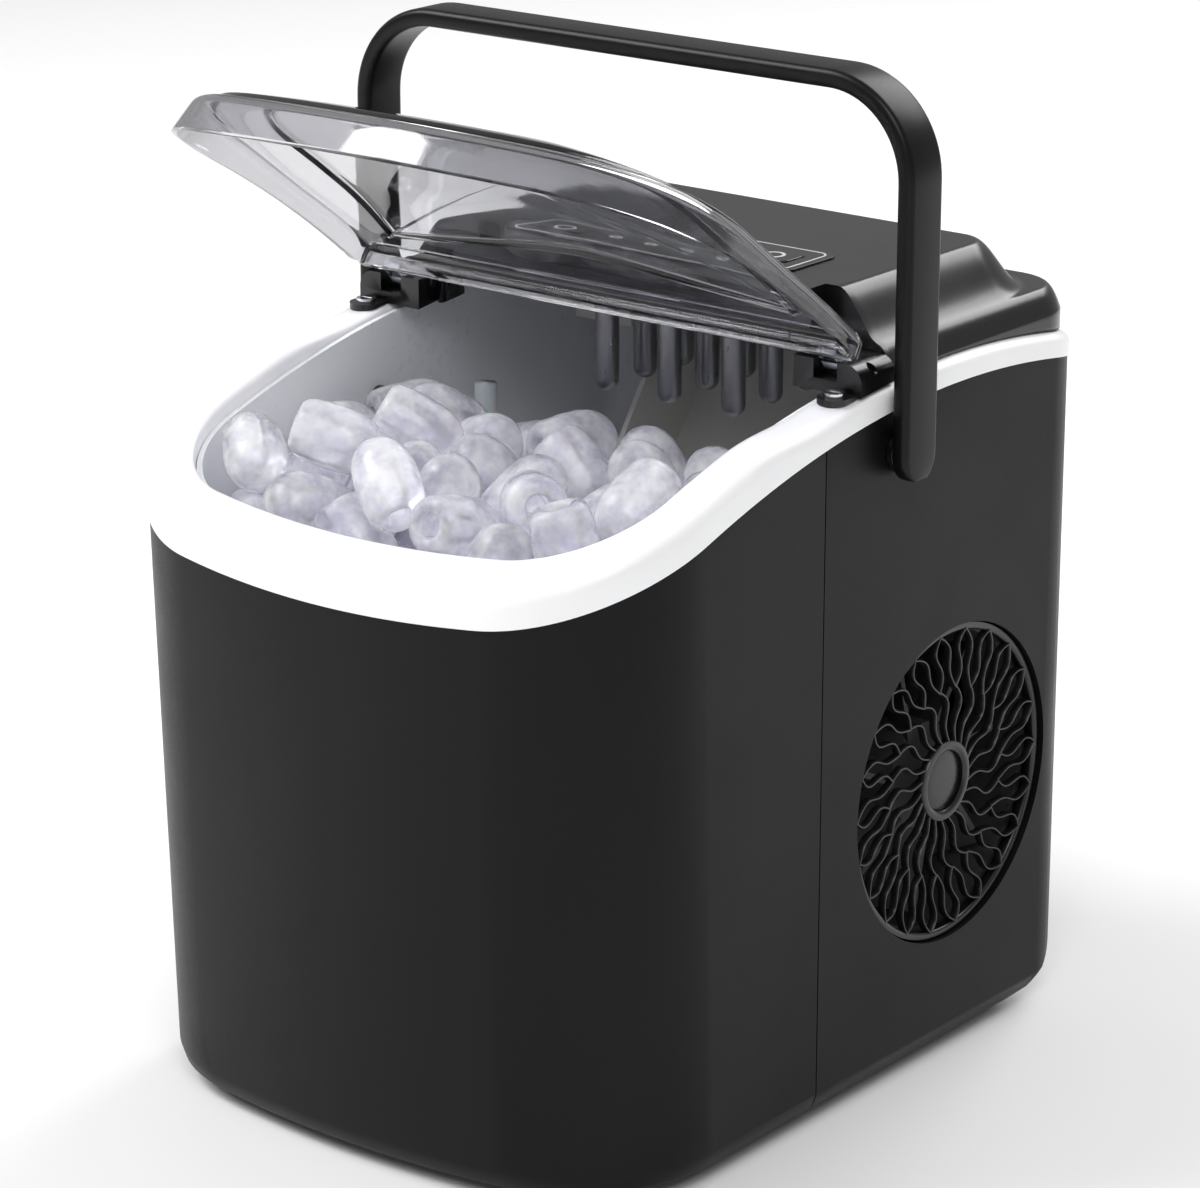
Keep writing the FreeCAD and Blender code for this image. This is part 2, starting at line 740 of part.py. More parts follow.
def drain_spout():
    s = cyl(10.6, V(-110.6, -60, 72), X, 2.4).fuse(cyl(8.2, V(-108.4, -60, 72), X, 13.5))
    s = s.fuse(cyl(6.0, V(-95.2, -60, 72), X, 2.8))
    return s.cut(cyl(4.6, V(-112, -60, 72), X, 30))


def drain_plug():
    p = cyl(4.5, V(-110.9, -60, 72), X, 13.0)
    head = cyl(8.0, V(-113.2, -60, 72), X, 2.3)
    return p.fuse(head)


def cord_gland():
    return cyl(6.7, V(-70, 145.4, 75), V(0, -1, 0), 8).cut(cyl(3.2, V(-70, 150, 75), V(0, -1, 0), 20))


def main():
    os.makedirs("parts", exist_ok=True)
    front, rear = shells()
    block = hinge_block()
    nodes = {
        "front_shell": front, "rear_shell": rear, "base_pan": base_pan(), "feet": feet(),
        "rim_collar": rim_collar(), "bin_liner": bin_liner(), "foam_jacket": foam_jacket(),
        "top_cover": top_cover(), "control_overlay": control_overlay(),
        "power_key": key(-45), "select_key": key(45), "control_board": control_board(),
        "lid_shell": opened(lid_shell()), "hinge_block_right": block,
        "hinge_block_left": mirror_x(block), "hinge_pins": hinge_pins(),
        "hinge_screws": hinge_screws(), "carry_handle": carry_handle(),
        "handle_pivots": handle_pivots(), "handle_washers": handle_washers(),
        "fan_grille": fan_grille(), "fan_bracket": fan_bracket(), "fan_motor": fan_motor(),
        "fan_rotor": fan_rotor(), "intake_screen": intake_screen(), "condenser": condenser(),
        "compressor": compressor(), "compressor_mounts": compressor_mounts(),
        "refrigerant_line": refrigerant_line(), "evaporator_plate": evaporator_plate(),
        "evaporator_fingers": evaporator_fingers(), "water_tray": water_tray(),
        "tray_comb": tray_comb(), "tray_shaft": tray_shaft(), "tray_motor": tray_motor(),
        "tray_bearing": tray_bearing(), "ice_sensors": ice_sensors(),
        "ice_basket": ice_basket(), "ice_bullets": ice_bullets(), "water_pump": water_pump(),
        "pump_hose": pump_hose(), "main_board": main_board(), "drain_spout": drain_spout(),
        "drain_plug": drain_plug(), "cord_gland": cord_gland(),
    }
    for name, shape in nodes.items():
        b = shape.BoundBox
        print(name, shape.isValid(), len(shape.Solids), round(b.XMin, 1), round(b.XMax, 1),
              round(b.YMin, 1), round(b.YMax, 1), round(b.ZMin, 1), round(b.ZMax, 1))
        shape.exportStep("parts/" + name + ".step")


main()
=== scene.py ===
"""Countertop ice maker: the surfaces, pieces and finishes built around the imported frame.

Lengths inside the shape functions are millimetres; a mesh is scaled to metres when it is made.
Front is -Y, right is +X, Z is up, and the machine stands on Z = 0.
"""

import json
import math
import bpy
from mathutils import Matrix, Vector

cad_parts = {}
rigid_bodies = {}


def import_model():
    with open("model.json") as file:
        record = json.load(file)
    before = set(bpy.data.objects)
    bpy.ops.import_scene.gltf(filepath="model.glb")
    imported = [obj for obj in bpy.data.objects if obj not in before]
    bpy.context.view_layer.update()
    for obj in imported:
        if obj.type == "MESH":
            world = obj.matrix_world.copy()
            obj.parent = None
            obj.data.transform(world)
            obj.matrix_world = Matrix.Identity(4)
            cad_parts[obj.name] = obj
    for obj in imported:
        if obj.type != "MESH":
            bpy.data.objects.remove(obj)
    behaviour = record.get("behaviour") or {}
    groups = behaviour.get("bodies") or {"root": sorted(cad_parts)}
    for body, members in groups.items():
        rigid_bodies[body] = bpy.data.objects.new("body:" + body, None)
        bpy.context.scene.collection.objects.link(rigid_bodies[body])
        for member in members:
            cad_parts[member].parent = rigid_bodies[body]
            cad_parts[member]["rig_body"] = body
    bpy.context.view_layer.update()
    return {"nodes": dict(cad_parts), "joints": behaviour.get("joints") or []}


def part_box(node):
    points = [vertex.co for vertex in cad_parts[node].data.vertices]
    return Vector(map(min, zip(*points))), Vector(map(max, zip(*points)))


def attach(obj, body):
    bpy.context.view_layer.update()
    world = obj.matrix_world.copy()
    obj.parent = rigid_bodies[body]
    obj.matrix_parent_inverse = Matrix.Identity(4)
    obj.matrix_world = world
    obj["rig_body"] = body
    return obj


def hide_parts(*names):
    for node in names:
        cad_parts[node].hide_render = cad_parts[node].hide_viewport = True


bl_info = {
    "name": "Countertop Ice Maker",
    "version": (1, 0, 0),
    "blender": (4, 5, 0),
    "location": "View3D > Sidebar > Ice Maker",
    "description": "Builds a countertop ice maker: its surfaces, small parts and finishes",
    "category": "Add Mesh",
}

import bmesh
import bpy
import numpy as np
from mathutils import Vector

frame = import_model()
MM = 0.001
RIM_CURVE = 0.00119     # the collar's edge falls by this times the square of the distance
CORNER_BACK = 4.5       # the front corners end this far behind the bow's foremost point
COVER_INSET = 3.0       # the rear cover stands this far inside the cabinet's outline
LID_GAP = 0.5           # the closed lid clears the collar's crest by this
LID_INSET = 0.7         # the lid's edge stands this far inside the cabinet's outline
LID_MIDDLE = (0.0, -70.0)   # the lid's roof is laid out in rings round this point


def span(node):
    """Lowest and highest corner of a CAD node, in millimetres."""
    low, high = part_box(node)
    return np.array(low) / MM, np.array(high) / MM


COLLAR = span("rim_collar")
COVER = span("top_cover")
HANDLE = span("carry_handle")
GRILLE = span("fan_grille")
OVERLAY = span("control_overlay")
JOINT = {j["name"]: j for j in frame["joints"]}
LID_AXIS = np.array(JOINT["lid_hinge"]["pos_m"]) / MM
LID_OPEN = -JOINT["lid_hinge"]["range_deg"][0]
HANDLE_AXIS = np.array(JOINT["handle_swing"]["pos_m"]) / MM
FAN_AXIS = np.array(JOINT["fan_spin"]["pos_m"]) / MM


# ---- settings


def length(name, value, description):
    return bpy.props.FloatProperty(name=name, description=description, default=value * MM,
                                   unit="LENGTH", precision=5)


def colour(name, value, description):
    return bpy.props.StringProperty(name=name, description=description, default=value)


class IceMakerSizes(bpy.types.PropertyGroup):
    """Sizes a maker would change, in metres; the defaults follow the frame."""
    half_width: length("Half width", COLLAR[1][0] - 0.7, "Half of the cabinet's width")
    half_depth: length("Half depth", COLLAR[1][1] - 0.7, "Half of the cabinet's depth")
    front_radius: length("Front corner", 58.0, "Radius of the front vertical corners")
    rear_radius: length("Rear corner", 27.0, "Radius of the rear vertical corners")
    bow_radius: length("Front bow", 372.4, "Radius of the front panel's slight bow")
    rim_crest: length("Collar crest", 248.4, "Height of the collar's lower edge at its highest")
    rim_crest_y: length("Crest place", 58.0, "Depth at which the collar is highest")
    collar_width: length("Collar width", 16.0, "Width of the white collar seen from above")
    collar_face: length("Collar face", 9.0, "Height of the collar's outer face")
    collar_crown: length("Collar crown", 13.0, "Height of the collar's crest round the bin")
    cover_top: length("Cover top", 284.5, "Height of the rear cover's flat top")
    cover_front: length("Cover front", COVER[0][1], "Depth of the rear cover's front face")
    lid_wall: length("Lid wall", 2.2, "Thickness of the clear lid")
    lid_rear: length("Lid rear", 1.9, "Depth at which the closed lid ends")
    handle_thickness: length("Handle thickness", 6.5, "Thickness of the carry handle's strap")
    handle_radius: length("Handle corner", 35.0, "Outer radius of the handle's corners")
    ice_radius: length("Ice radius", 11.4, "Radius of one ice bullet")


class IceMakerFinishes(bpy.types.PropertyGroup):
    """Colours as sRGB hex values."""
    shell: colour("Shell", "#0A0A0B", "Black moulded cabinet")
    trim: colour("Trim", "#0A0A0B", "Glossier black cover, handle and hinges")
    collar: colour("Collar", "#F6F6F7", "White collar round the bin")
    liner: colour("Liner", "#ECEEEF", "White bin liner")
    lid: colour("Lid", "#D2D2D6", "Smoked clear lid")
    ice: colour("Ice", "#F1F0FA", "Ice")
    fingers: colour("Fingers", "#9A9A9C", "Plated evaporator fingers")
    grille: colour("Grille", "#0C0C0D", "Fan grille")
    floor: colour("Floor", "#F4F4F4", "Floor")


def sizes():
    return bpy.context.scene.ice_maker_sizes


def finishes():
    return bpy.context.scene.ice_maker_finishes


def mm(name):
    """A setting in millimetres."""
    return getattr(sizes(), name) / MM


# ---- shape helpers


def smooth(t):
    """A soft step from 0 to 1: 3 t^2 - 2 t^3, with t held between 0 and 1."""
    t = np.clip(t, 0.0, 1.0)
    return t * t * (3.0 - 2.0 * t)


def rim(y):
    """Height of the collar's lower edge: a parabola that falls to the front."""
    return mm("rim_crest") - RIM_CURVE * (mm("rim_crest_y") - y) ** 2


def plan_sizes():
    """Half width and depth, front, rear and bow radii, and the right front corner's centre."""
    w, d, rf = mm("half_width"), mm("half_depth"), mm("front_radius")
    return w, d, rf, mm("rear_radius"), mm("bow_radius"), w - rf, rf - (d - CORNER_BACK)


def outline(per_mm=0.45):
    """Cabinet outline from above as points and outward normals.

    Straight sides, two front corner arcs joined by one wide bow, two rear corner arcs and a
    straight back; each arc is centre + radius * (cos, sin) and shares its normal with the
    next, so moving every point along its normal gives an exact offset of the outline.
    """
    w, d, rf, rr, rb, fx, fy = plan_sizes()
    by = rb - d
    turn = math.atan2(fy - by, fx)
    pieces = [("line", (w, d - rr), (w, fy), 0.0),
              ("arc", (fx, fy), rf, (0.0, turn)),
              ("arc", (0.0, by), rb, (turn, -math.pi - turn)),
              ("arc", (-fx, fy), rf, (-math.pi - turn, -math.pi)),
              ("line", (-w, fy), (-w, d - rr), math.pi),
              ("arc", (rr - w, d - rr), rr, (math.pi, math.pi / 2)),
              ("line", (rr - w, d), (w - rr, d), math.pi / 2),
              ("arc", (w - rr, d - rr), rr, (math.pi / 2, 0.0))]
    points, normals = [], []
    for kind, a, b, c in pieces:
        if kind == "line":
            n = max(int(math.dist(a, b) * per_mm), 2)
            t = np.arange(n)[:, None] / n
            points.append(np.array(a) * (1 - t) + np.array(b) * t)
            normals.append(np.tile([math.cos(c), math.sin(c)], (n, 1)))
        else:
            n = max(int(abs(c[1] - c[0]) * b * per_mm * 1.4), 6)
            ang = c[0] + (c[1] - c[0]) * np.arange(n) / n
            ray = np.stack([np.cos(ang), np.sin(ang)], 1)
            points.append(np.array(a) + b * ray)
            normals.append(ray)
    return np.concatenate(points), np.concatenate(normals)


def inside(x, y, inset):
    """Distance from a point in to the cabinet's outline moved in by inset (negative outside)."""
    w, d, rf, rr, rb, fx, fy = plan_sizes()
    ax = np.abs(x)
    corner = rf - np.hypot(np.maximum(ax - fx, 0), np.minimum(y - fy, 0))
    bow = rb - np.hypot(x, y - (rb - d))
    use_bow = ax < fx * 1.18        # the bow meets each corner arc a little outside its centre
    front = np.where((y < fy) & ~use_bow, corner, np.minimum(w - ax, bow))
    qx, qy = ax - (w - rr), y - (d - rr)
    rear = rr - np.where(np.minimum(qx, qy) > 0, np.hypot(qx, qy), np.maximum(qx, qy))
    return np.where(y > 0, rear, front) - inset


def faces_of(grid, wrap_u, wrap_v):
    """Quads of a two-way grid of points, joined round where wrapped."""
    nu, nv = grid.shape[:2]
    i = np.arange(nu if wrap_u else nu - 1)
    j = np.arange(nv if wrap_v else nv - 1)
    i, j = np.meshgrid(i, j, indexing="ij")
    i, j = i.ravel(), j.ravel()
    i2, j2 = (i + 1) % nu, (j + 1) % nv
    return np.stack([i * nv + j, i2 * nv + j, i2 * nv + j2, i * nv + j2], 1)


def repeated(one, count, block):
    """Quads of one part for count like parts, whose vertices follow each other block by block."""
    return (one[None] + (np.arange(count) * block)[:, None, None]).reshape(-1, 4)


def piece(name, points, quads, body, slot, material, merge=0.0, sharp=40.0):
    """Makes a mesh object from points in mm and quads, faces out, that rides on a body."""
    mesh = bpy.data.meshes.new(name)
    points = np.asarray(points, float).reshape(-1, 3) * MM
    quads = np.asarray(quads, int)
    mesh.vertices.add(len(points))
    mesh.vertices.foreach_set("co", points.ravel())
    mesh.loops.add(quads.size)
    mesh.loops.foreach_set("vertex_index", quads.ravel())
    mesh.polygons.add(len(quads))
    mesh.polygons.foreach_set("loop_start", np.arange(len(quads)) * 4)
    mesh.update(calc_edges=True)
    mesh.validate()
    turn_out(mesh, merge)
    return placed(name, mesh, body, material, sharp)


def turn_out(mesh, merge):
    """Turns faces out, after merging points closer than merge mm and dropping empty faces."""
    bm = bmesh.new()
    bm.from_mesh(mesh)
    if merge:
        bmesh.ops.remove_doubles(bm, verts=bm.verts, dist=merge * MM)
        bmesh.ops.dissolve_degenerate(bm, edges=bm.edges, dist=1e-7)
    bmesh.ops.recalc_face_normals(bm, faces=bm.faces)
    bm.to_mesh(mesh)
    bm.free()


def linked(name, data):
    """A new object in the scene."""
    obj = bpy.data.objects.new(name, data)
    bpy.context.scene.collection.objects.link(obj)
    return obj


def placed(name, mesh, body, material, sharp=40.0):
    """Puts a mesh in the scene with its material and body; edges over sharp stay crisp."""
    obj = linked(name, mesh)
    mesh.shade_smooth()
    mesh.set_sharp_from_angle(angle=math.radians(sharp))
    mesh.materials.clear()
    mesh.materials.append(material)
    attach(obj, body)
    return obj


def softened(node, material, width=0.5, segments=2, angle=35.0):
    """A copy of a CAD node with the points that CAD faces share merged.

    With a width, flat faces are joined and edges rounded by that many mm; without one the
    triangles stay, and the large faces rule the normals.
    """
    source = frame["nodes"][node]
    mesh = source.data.copy()
    bm = bmesh.new()
    bm.from_mesh(mesh)
    bmesh.ops.remove_doubles(bm, verts=bm.verts, dist=0.004 * MM)
    if width:
        bmesh.ops.dissolve_limit(bm, angle_limit=math.radians(0.6), verts=bm.verts,
                                 edges=bm.edges, delimit={"NORMAL"})
    bm.to_mesh(mesh)
    bm.free()
    obj = placed(node + "_finished", mesh, source["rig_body"], material, angle)
    if width:
        bevel = obj.modifiers.new("edge", "BEVEL")
        bevel.width = width * MM
        bevel.segments = segments
        bevel.limit_method = "ANGLE"
        bevel.angle_limit = math.radians(angle)
        bevel.harden_normals = True
        bevel.miter_outer = "MITER_ARC"
    else:
        even = obj.modifiers.new("even", "WEIGHTED_NORMAL")
        even.keep_sharp = True
    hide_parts(node)
    return obj


def lathe(profile, count):
    """Surface of a profile of (radius, height) turned about the first axis: (x, y, z)."""
    a = 2 * math.pi * np.arange(count) / count
    r, h = np.asarray(profile, float).T
    return np.stack([np.tile(h[:, None], (1, count)),
                     r[:, None] * np.cos(a), r[:, None] * np.sin(a)], 2)


def turned_about_x(points, centre, degrees):
    """Points turned about an axis along X through centre; positive lifts the front."""
    a = math.radians(degrees)
    y = points[..., 1] - centre[1]
    z = points[..., 2] - centre[2]
    return np.stack([points[..., 0], centre[1] + y * math.cos(a) + z * math.sin(a),
                     centre[2] - y * math.sin(a) + z * math.cos(a)], -1)


def rounded_strip(width, height, radius, steps=5):
    """Closed rounded rectangle about the origin, as (across, up) points."""
    w, h = width / 2 - radius, height / 2 - radius
    out = []
    for cx, cy, a0 in ((w, h, 0), (-w, h, 90), (-w, -h, 180), (w, -h, 270)):
        a = np.radians(a0 + np.linspace(0, 90, steps))
        out.append(np.stack([cx + radius * np.cos(a), cy + radius * np.sin(a)], 1))
    return np.concatenate(out)


# ---- finishes


def linear(hex_value, factor=1.0):
    """sRGB hex to a linear colour with alpha, made darker or lighter by factor."""
    c = [int(hex_value[i:i + 2], 16) / 255 for i in (1, 3, 5)]
    c = [v / 12.92 if v <= 0.04045 else ((v + 0.055) / 1.055) ** 2.4 for v in c]
    return [min(v * factor, 1.0) for v in c] + [1.0]


def add(tree, kind, inputs=None, out=0, **settings):
    """Adds a shader node with its properties, fills or links its inputs by name or number, and
    returns its output of the given name or number."""
    made = tree.nodes.new("ShaderNode" + kind)
    for key, value in settings.items():
        setattr(made, key, value)
    for key, value in (inputs or {}).items():
        if isinstance(value, bpy.types.NodeSocket):
            tree.links.new(value, made.inputs[key])
        else:
            made.inputs[key].default_value = value
    return made.outputs[out] if made.outputs else made


def per_mm(size):
    """Scale of a pattern on metres whose lumps are size mm across."""
    return 1.0 / (size * MM)


def wired(tree, key, value):
    """The socket that a recipe's short form stands for; any other value stays as it is.

    (pattern, colour, colour) mixes two colours, (pattern, low, high, from, to) maps a range,
    and Normal's (pattern, strength, mm) raises the surface.
    """
    if not (isinstance(value, tuple) and isinstance(value[0], bpy.types.NodeSocket)):
        return value
    if key == "Normal":
        return add(tree, "Bump", {"Height": value[0], "Strength": value[1],
                                  "Distance": value[2] * MM})
    if len(value) == 5:
        return add(tree, "MapRange", dict(enumerate(value)))
    return add(tree, "Mix", dict(zip((0, 6, 7), value)), 2, data_type="RGBA")


def material(name, recipe, lamp_tint=None):
    """A material whose Principled inputs are what recipe(tree, object coordinates) returns.

    With a lamp_tint, lamp light passes tinted by it, where a path tracer would otherwise stop
    it at a clear wall.
    """
    mat = bpy.data.materials.new(name)
    mat.use_nodes = True
    tree = mat.node_tree
    tree.nodes.clear()
    inputs = recipe(tree, add(tree, "TexCoord", out="Object"))
    surface = add(tree, "BsdfPrincipled", {k: wired(tree, k, v) for k, v in inputs.items()})
    if lamp_tint:
        through = add(tree, "BsdfTransparent", {"Color": linear(lamp_tint)})
        from_lamp = add(tree, "LightPath", out="Is Shadow Ray")
        surface = add(tree, "MixShader", {0: from_lamp, 1: surface, 2: through})
    add(tree, "OutputMaterial", {"Surface": surface})
    return mat


def moulded(name, hex_value, rough, grain_mm, depth_mm, strength, drift=0.12, fixed=None):
    """Injection-moulded plastic: tool grain as bump, slow drift in gloss and tone."""
    def recipe(tree, coords):
        grain = add(tree, "TexNoise",
                    {"Vector": coords, "Scale": per_mm(grain_mm), "Detail": 3.0})
        slow = add(tree, "TexNoise", {"Vector": coords, "Scale": per_mm(45.0)})
        both = add(tree, "Math", {0: grain, 1: slow}, operation="ADD")
        tones = (slow, linear(hex_value, 1 - drift), linear(hex_value, 1 + drift))
        return {"Base Color": tones,
                "Roughness": (both, 0.6, 1.4, rough * 0.85, rough * 1.15),
                "Normal": (grain, strength, depth_mm),
                "IOR": 1.53, **(fixed or {})}
    return material(name, recipe)


def abs_satin_black():
    """ABS moulded in a spark-textured tool: fine grain, drawn 0.9 mm coarse so that it shows."""
    return moulded("abs_satin_black", finishes().shell, 0.42, 0.9, 0.05, 0.35,
                   fixed={"Specular IOR Level": 0.16})


def abs_polished_black():
    """ABS from a polished tool: sharp soft-edged reflections with faint sink waviness."""
    return moulded("abs_polished_black", finishes().trim, 0.24, 1.6, 0.03, 0.25)


def abs_handle_black():
    """ABS strap, a little duller than the cover from handling."""
    return moulded("abs_handle_black", finishes().trim, 0.34, 1.1, 0.05, 0.35,
                   fixed={"Specular IOR Level": 0.2})


def abs_white():
    """White ABS collar, satin, slightly translucent in thin edges."""
    return moulded("abs_white", finishes().collar, 0.34, 1.2, 0.03, 0.2, 0.015,
                   {"Subsurface Weight": 0.12, "Subsurface Radius": (0.004, 0.0038, 0.0036)})


def hips_white():
    """Thermoformed high-impact polystyrene liner: soft gloss, faint orange peel."""
    return moulded("hips_white", finishes().liner, 0.3, 4.0, 0.08, 0.25, 0.02)


def nylon_grey():
    """Glass-filled nylon: dull grey with a fibrous grain."""
    return moulded("nylon_grey", "#3A3B3D", 0.55, 0.8, 0.06, 0.4, 0.15)


def acetal_white():
    """Acetal mechanism parts: waxy off-white."""
    return moulded("acetal_white", "#E9E8E2", 0.38, 1.5, 0.02, 0.2, 0.03)


def nitrile_rubber():
    """Moulded nitrile rubber: matt black with a dusty bloom."""
    return moulded("nitrile_rubber", "#1A1A1A", 0.78, 0.7, 0.06, 0.5, 0.3)


def printed_film():
    """Glossy polyester film over the control panel."""
    return moulded("printed_film", "#0E0E10", 0.16, 2.0, 0.01, 0.15)


def panel_ink():
    """Light grey screen ink, slightly uneven."""
    return moulded("panel_ink", "#C9CACC", 0.5, 0.6, 0.01, 0.2, 0.06)


def grille_black():
    """ABS grille, satin, so that the rib edges catch light."""
    return moulded("grille_black", finishes().grille, 0.3, 1.0, 0.03, 0.25)


def stove_enamel():
    """Black stove-enamelled compressor can with slight orange peel."""
    return moulded("stove_enamel", "#141415", 0.25, 2.5, 0.08, 0.4)


def foam_beads():
    """Expanded polystyrene: 4 mm beads pressed together."""
    def recipe(tree, coords):
        cells = add(tree, "TexVoronoi", {"Vector": coords, "Scale": per_mm(4.0)}, "Distance",
                    feature="DISTANCE_TO_EDGE")
        seam = add(tree, "MapRange", dict(enumerate((cells, 0, 0.25, 0, 1))))
        tones = (seam, linear("#CFCBBD"), linear("#EFECE2"))
        return {"Base Color": tones, "Roughness": 0.85,
                "Normal": (cells, 0.5, 0.3)}
    return material("foam_beads", recipe)


def smoked_san():
    """Clear styrene-acrylonitrile with a grey smoke tint: sharp reflections, faint flow lines."""
    def recipe(tree, coords):
        flow = add(tree, "TexNoise", {"Vector": coords, "Scale": per_mm(60.0), "Detail": 1.0})
        haze = add(tree, "TexNoise", {"Vector": coords, "Scale": per_mm(8.0)})
        return {"Base Color": linear(finishes().lid), "Transmission Weight": 1.0, "IOR": 1.5,
                "Roughness": (haze, 0.3, 0.7, 0.015, 0.05),
                "Normal": (flow, 0.25, 1.2)}
    return material("smoked_san", recipe, "#D8D8DC")


def clear_ice():
    """Quick-frozen ice: clear wet skin over a white, faintly bluish core full of fine bubbles."""
    def recipe(tree, coords):
        cloud = add(tree, "TexNoise", {"Vector": coords, "Scale": per_mm(11.0), "Detail": 3.0,
                                       "Roughness": 0.55})
        wet = add(tree, "TexNoise", {"Vector": coords, "Scale": per_mm(6.0)})
        dimples = add(tree, "TexNoise",
                      {"Vector": coords, "Scale": per_mm(4.5), "Detail": 3.0})
        core = add(tree, "MapRange", dict(enumerate((cloud, 0.35, 0.65, 0, 1))))
        tones = (core, linear(finishes().ice), linear("#FFFFFF"))
        return {"Base Color": tones, "IOR": 1.31,
                "Transmission Weight": (cloud, 0.35, 0.65, 0.85, 0.55),
                "Roughness": (wet, 0.3, 0.7, 0.03, 0.14),
                "Subsurface Weight": 0.6, "Subsurface Radius": (0.012, 0.012, 0.014),
                "Normal": (dimples, 0.25, 0.5)}
    return material("clear_ice", recipe, "#C8C8D0")


def metal(name, hex_value, rough, grain_mm, stretch, strength=0.25):
    """Metal with a drawn grain: noise stretched along Z by the given factor, 1 for none."""
    def recipe(tree, coords):
        drawn = add(tree, "Mapping", {"Vector": coords, "Scale": (1.0, 1.0, 1.0 / stretch)})
        grain = add(tree, "TexNoise",
                    {"Vector": drawn, "Scale": per_mm(grain_mm), "Detail": 3.0})
        slow = add(tree, "TexNoise", {"Vector": coords, "Scale": per_mm(12.0), "Detail": 3.0})
        tones = (slow, linear(hex_value, 0.8), linear(hex_value, 1.15))
        return {"Base Color": tones, "Metallic": 1.0,
                "Roughness": (grain, 0.3, 0.7, rough * 0.8, rough * 1.25),
                "Normal": (grain, strength, 0.03)}
    return material(name, recipe)


def nickel_plate():
    """Electroless nickel on copper: grey, softly blurred reflections."""
    return metal("nickel_plate", finishes().fingers, 0.34, 1.2, 4.0)


def zinc_plate():
    """Zinc-plated steel, cool grey with a light spangle."""
    return metal("zinc_plate", "#A9ADB2", 0.38, 2.0, 1.0)


def bright_chrome():
    """Chromed screw heads."""
    return metal("bright_chrome", "#D9DADD", 0.12, 0.8, 1.0, 0.1)


def drawn_copper():
    """Drawn copper tube with a brown tarnish."""
    return metal("drawn_copper", "#B9714A", 0.33, 0.8, 6.0)


def mill_aluminium():
    """Rolled aluminium fins."""
    return metal("mill_aluminium", "#C3C6CA", 0.3, 0.6, 8.0)


def circuit_laminate():
    """Green solder mask over fibreglass: copper tracks about 2 mm apart, as lighter lines."""
    def recipe(tree, coords):
        tracks = add(tree, "TexBrick",
                     {"Vector": coords, "Scale": 120.0, "Mortar Size": 0.03,
                      "Color1": linear("#0F4A26"), "Color2": linear("#0C3F20"),
                      "Mortar": linear("#2C7A48")}, "Color")
        relief = (tracks.node.outputs["Fac"], 0.3, 0.05)
        return {"Base Color": tracks, "Roughness": 0.35, "Normal": relief}
    return material("circuit_laminate", recipe)


def frosted(name, hex_value, clear, haze_mm, rough, grain_mm, depth_mm, milky=0.0):
    """Half-clear plastic whose gloss is uneven and whose skin has a fine grain."""
    def recipe(tree, coords):
        haze = add(tree, "TexNoise", {"Vector": coords, "Scale": per_mm(haze_mm)})
        grain = add(tree, "TexNoise", {"Vector": coords, "Scale": per_mm(grain_mm)})
        return {"Base Color": linear(hex_value), "Transmission Weight": clear,
                "Subsurface Weight": milky,
                "Roughness": (haze, 0.3, 0.7, rough[0], rough[1]),
                "Normal": (grain, 0.2, depth_mm)}
    return material(name, recipe)


def basket_plastic():
    """Frosted clear polypropylene basket."""
    return frosted("basket_plastic", "#DDE1E4", 0.5, 2.0, (0.25, 0.4), 1.0, 0.04)


def silicone_hose():
    """Translucent silicone tube."""
    return frosted("silicone_hose", "#E4E6E6", 0.3, 3.0, (0.3, 0.45), 1.2, 0.05, 0.3)


def floor_paper():
    """Matt seamless paper."""
    def recipe(tree, coords):
        slow = add(tree, "TexNoise", {"Vector": coords, "Scale": per_mm(400.0)})
        tones = (slow, linear(finishes().floor, 0.99), linear(finishes().floor))
        return {"Base Color": tones, "Roughness": 0.7}
    return material("floor_paper", recipe)


_made = {}


def finish(maker):
    """One shared material for each maker function."""
    if maker not in _made:
        _made[maker] = maker()
    return _made[maker]


# ---- white collar


def collar_profile():
    """Closed section as (inset in mm, share of the crown): face, brow, top and inner edge."""
    return np.array([(-0.7, 0.0), (-0.7, 0.3), (-0.62, 0.52), (-0.3, 0.66), (0.5, 0.77),
                     (1.8, 0.86), (3.6, 0.93), (6.0, 0.975), (8.5, 0.995), (11.0, 1.0),
                     (13.2, 0.985), (14.9, 0.93), (15.7, 0.83), (16.0, 0.7), (16.0, 0.3),
                     (16.0, 0.0), (11.0, 0.0), (5.0, 0.0)])


def make_collar():
    """The section is carried round the outline; its foot follows the rim parabola.

    Its height is face + (crown - face) * smooth, growing over 40 mm in front of the hinge.
    """
    points, normals = outline()
    section = collar_profile()
    inset = section[:, 0] * mm("collar_width") / section[:, 0].max()
    xy = points[:, None, :] - normals[:, None, :] * inset[None, :, None]
    hinge_y, run = -14.0, 40.0
    growth = smooth((hinge_y - xy[..., 1]) / run)
    crown = mm("collar_face") + (mm("collar_crown") - mm("collar_face")) * growth
    z = rim(xy[..., 1]) + section[None, :, 1] * crown
    grid = np.concatenate([xy, z[..., None]], 2)
    quads = faces_of(grid, True, True)
    obj = piece("white_collar", grid, quads, "cabinet", "white_plastic", finish(abs_white),
                sharp=60)
    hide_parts("rim_collar")


# ---- rear cover


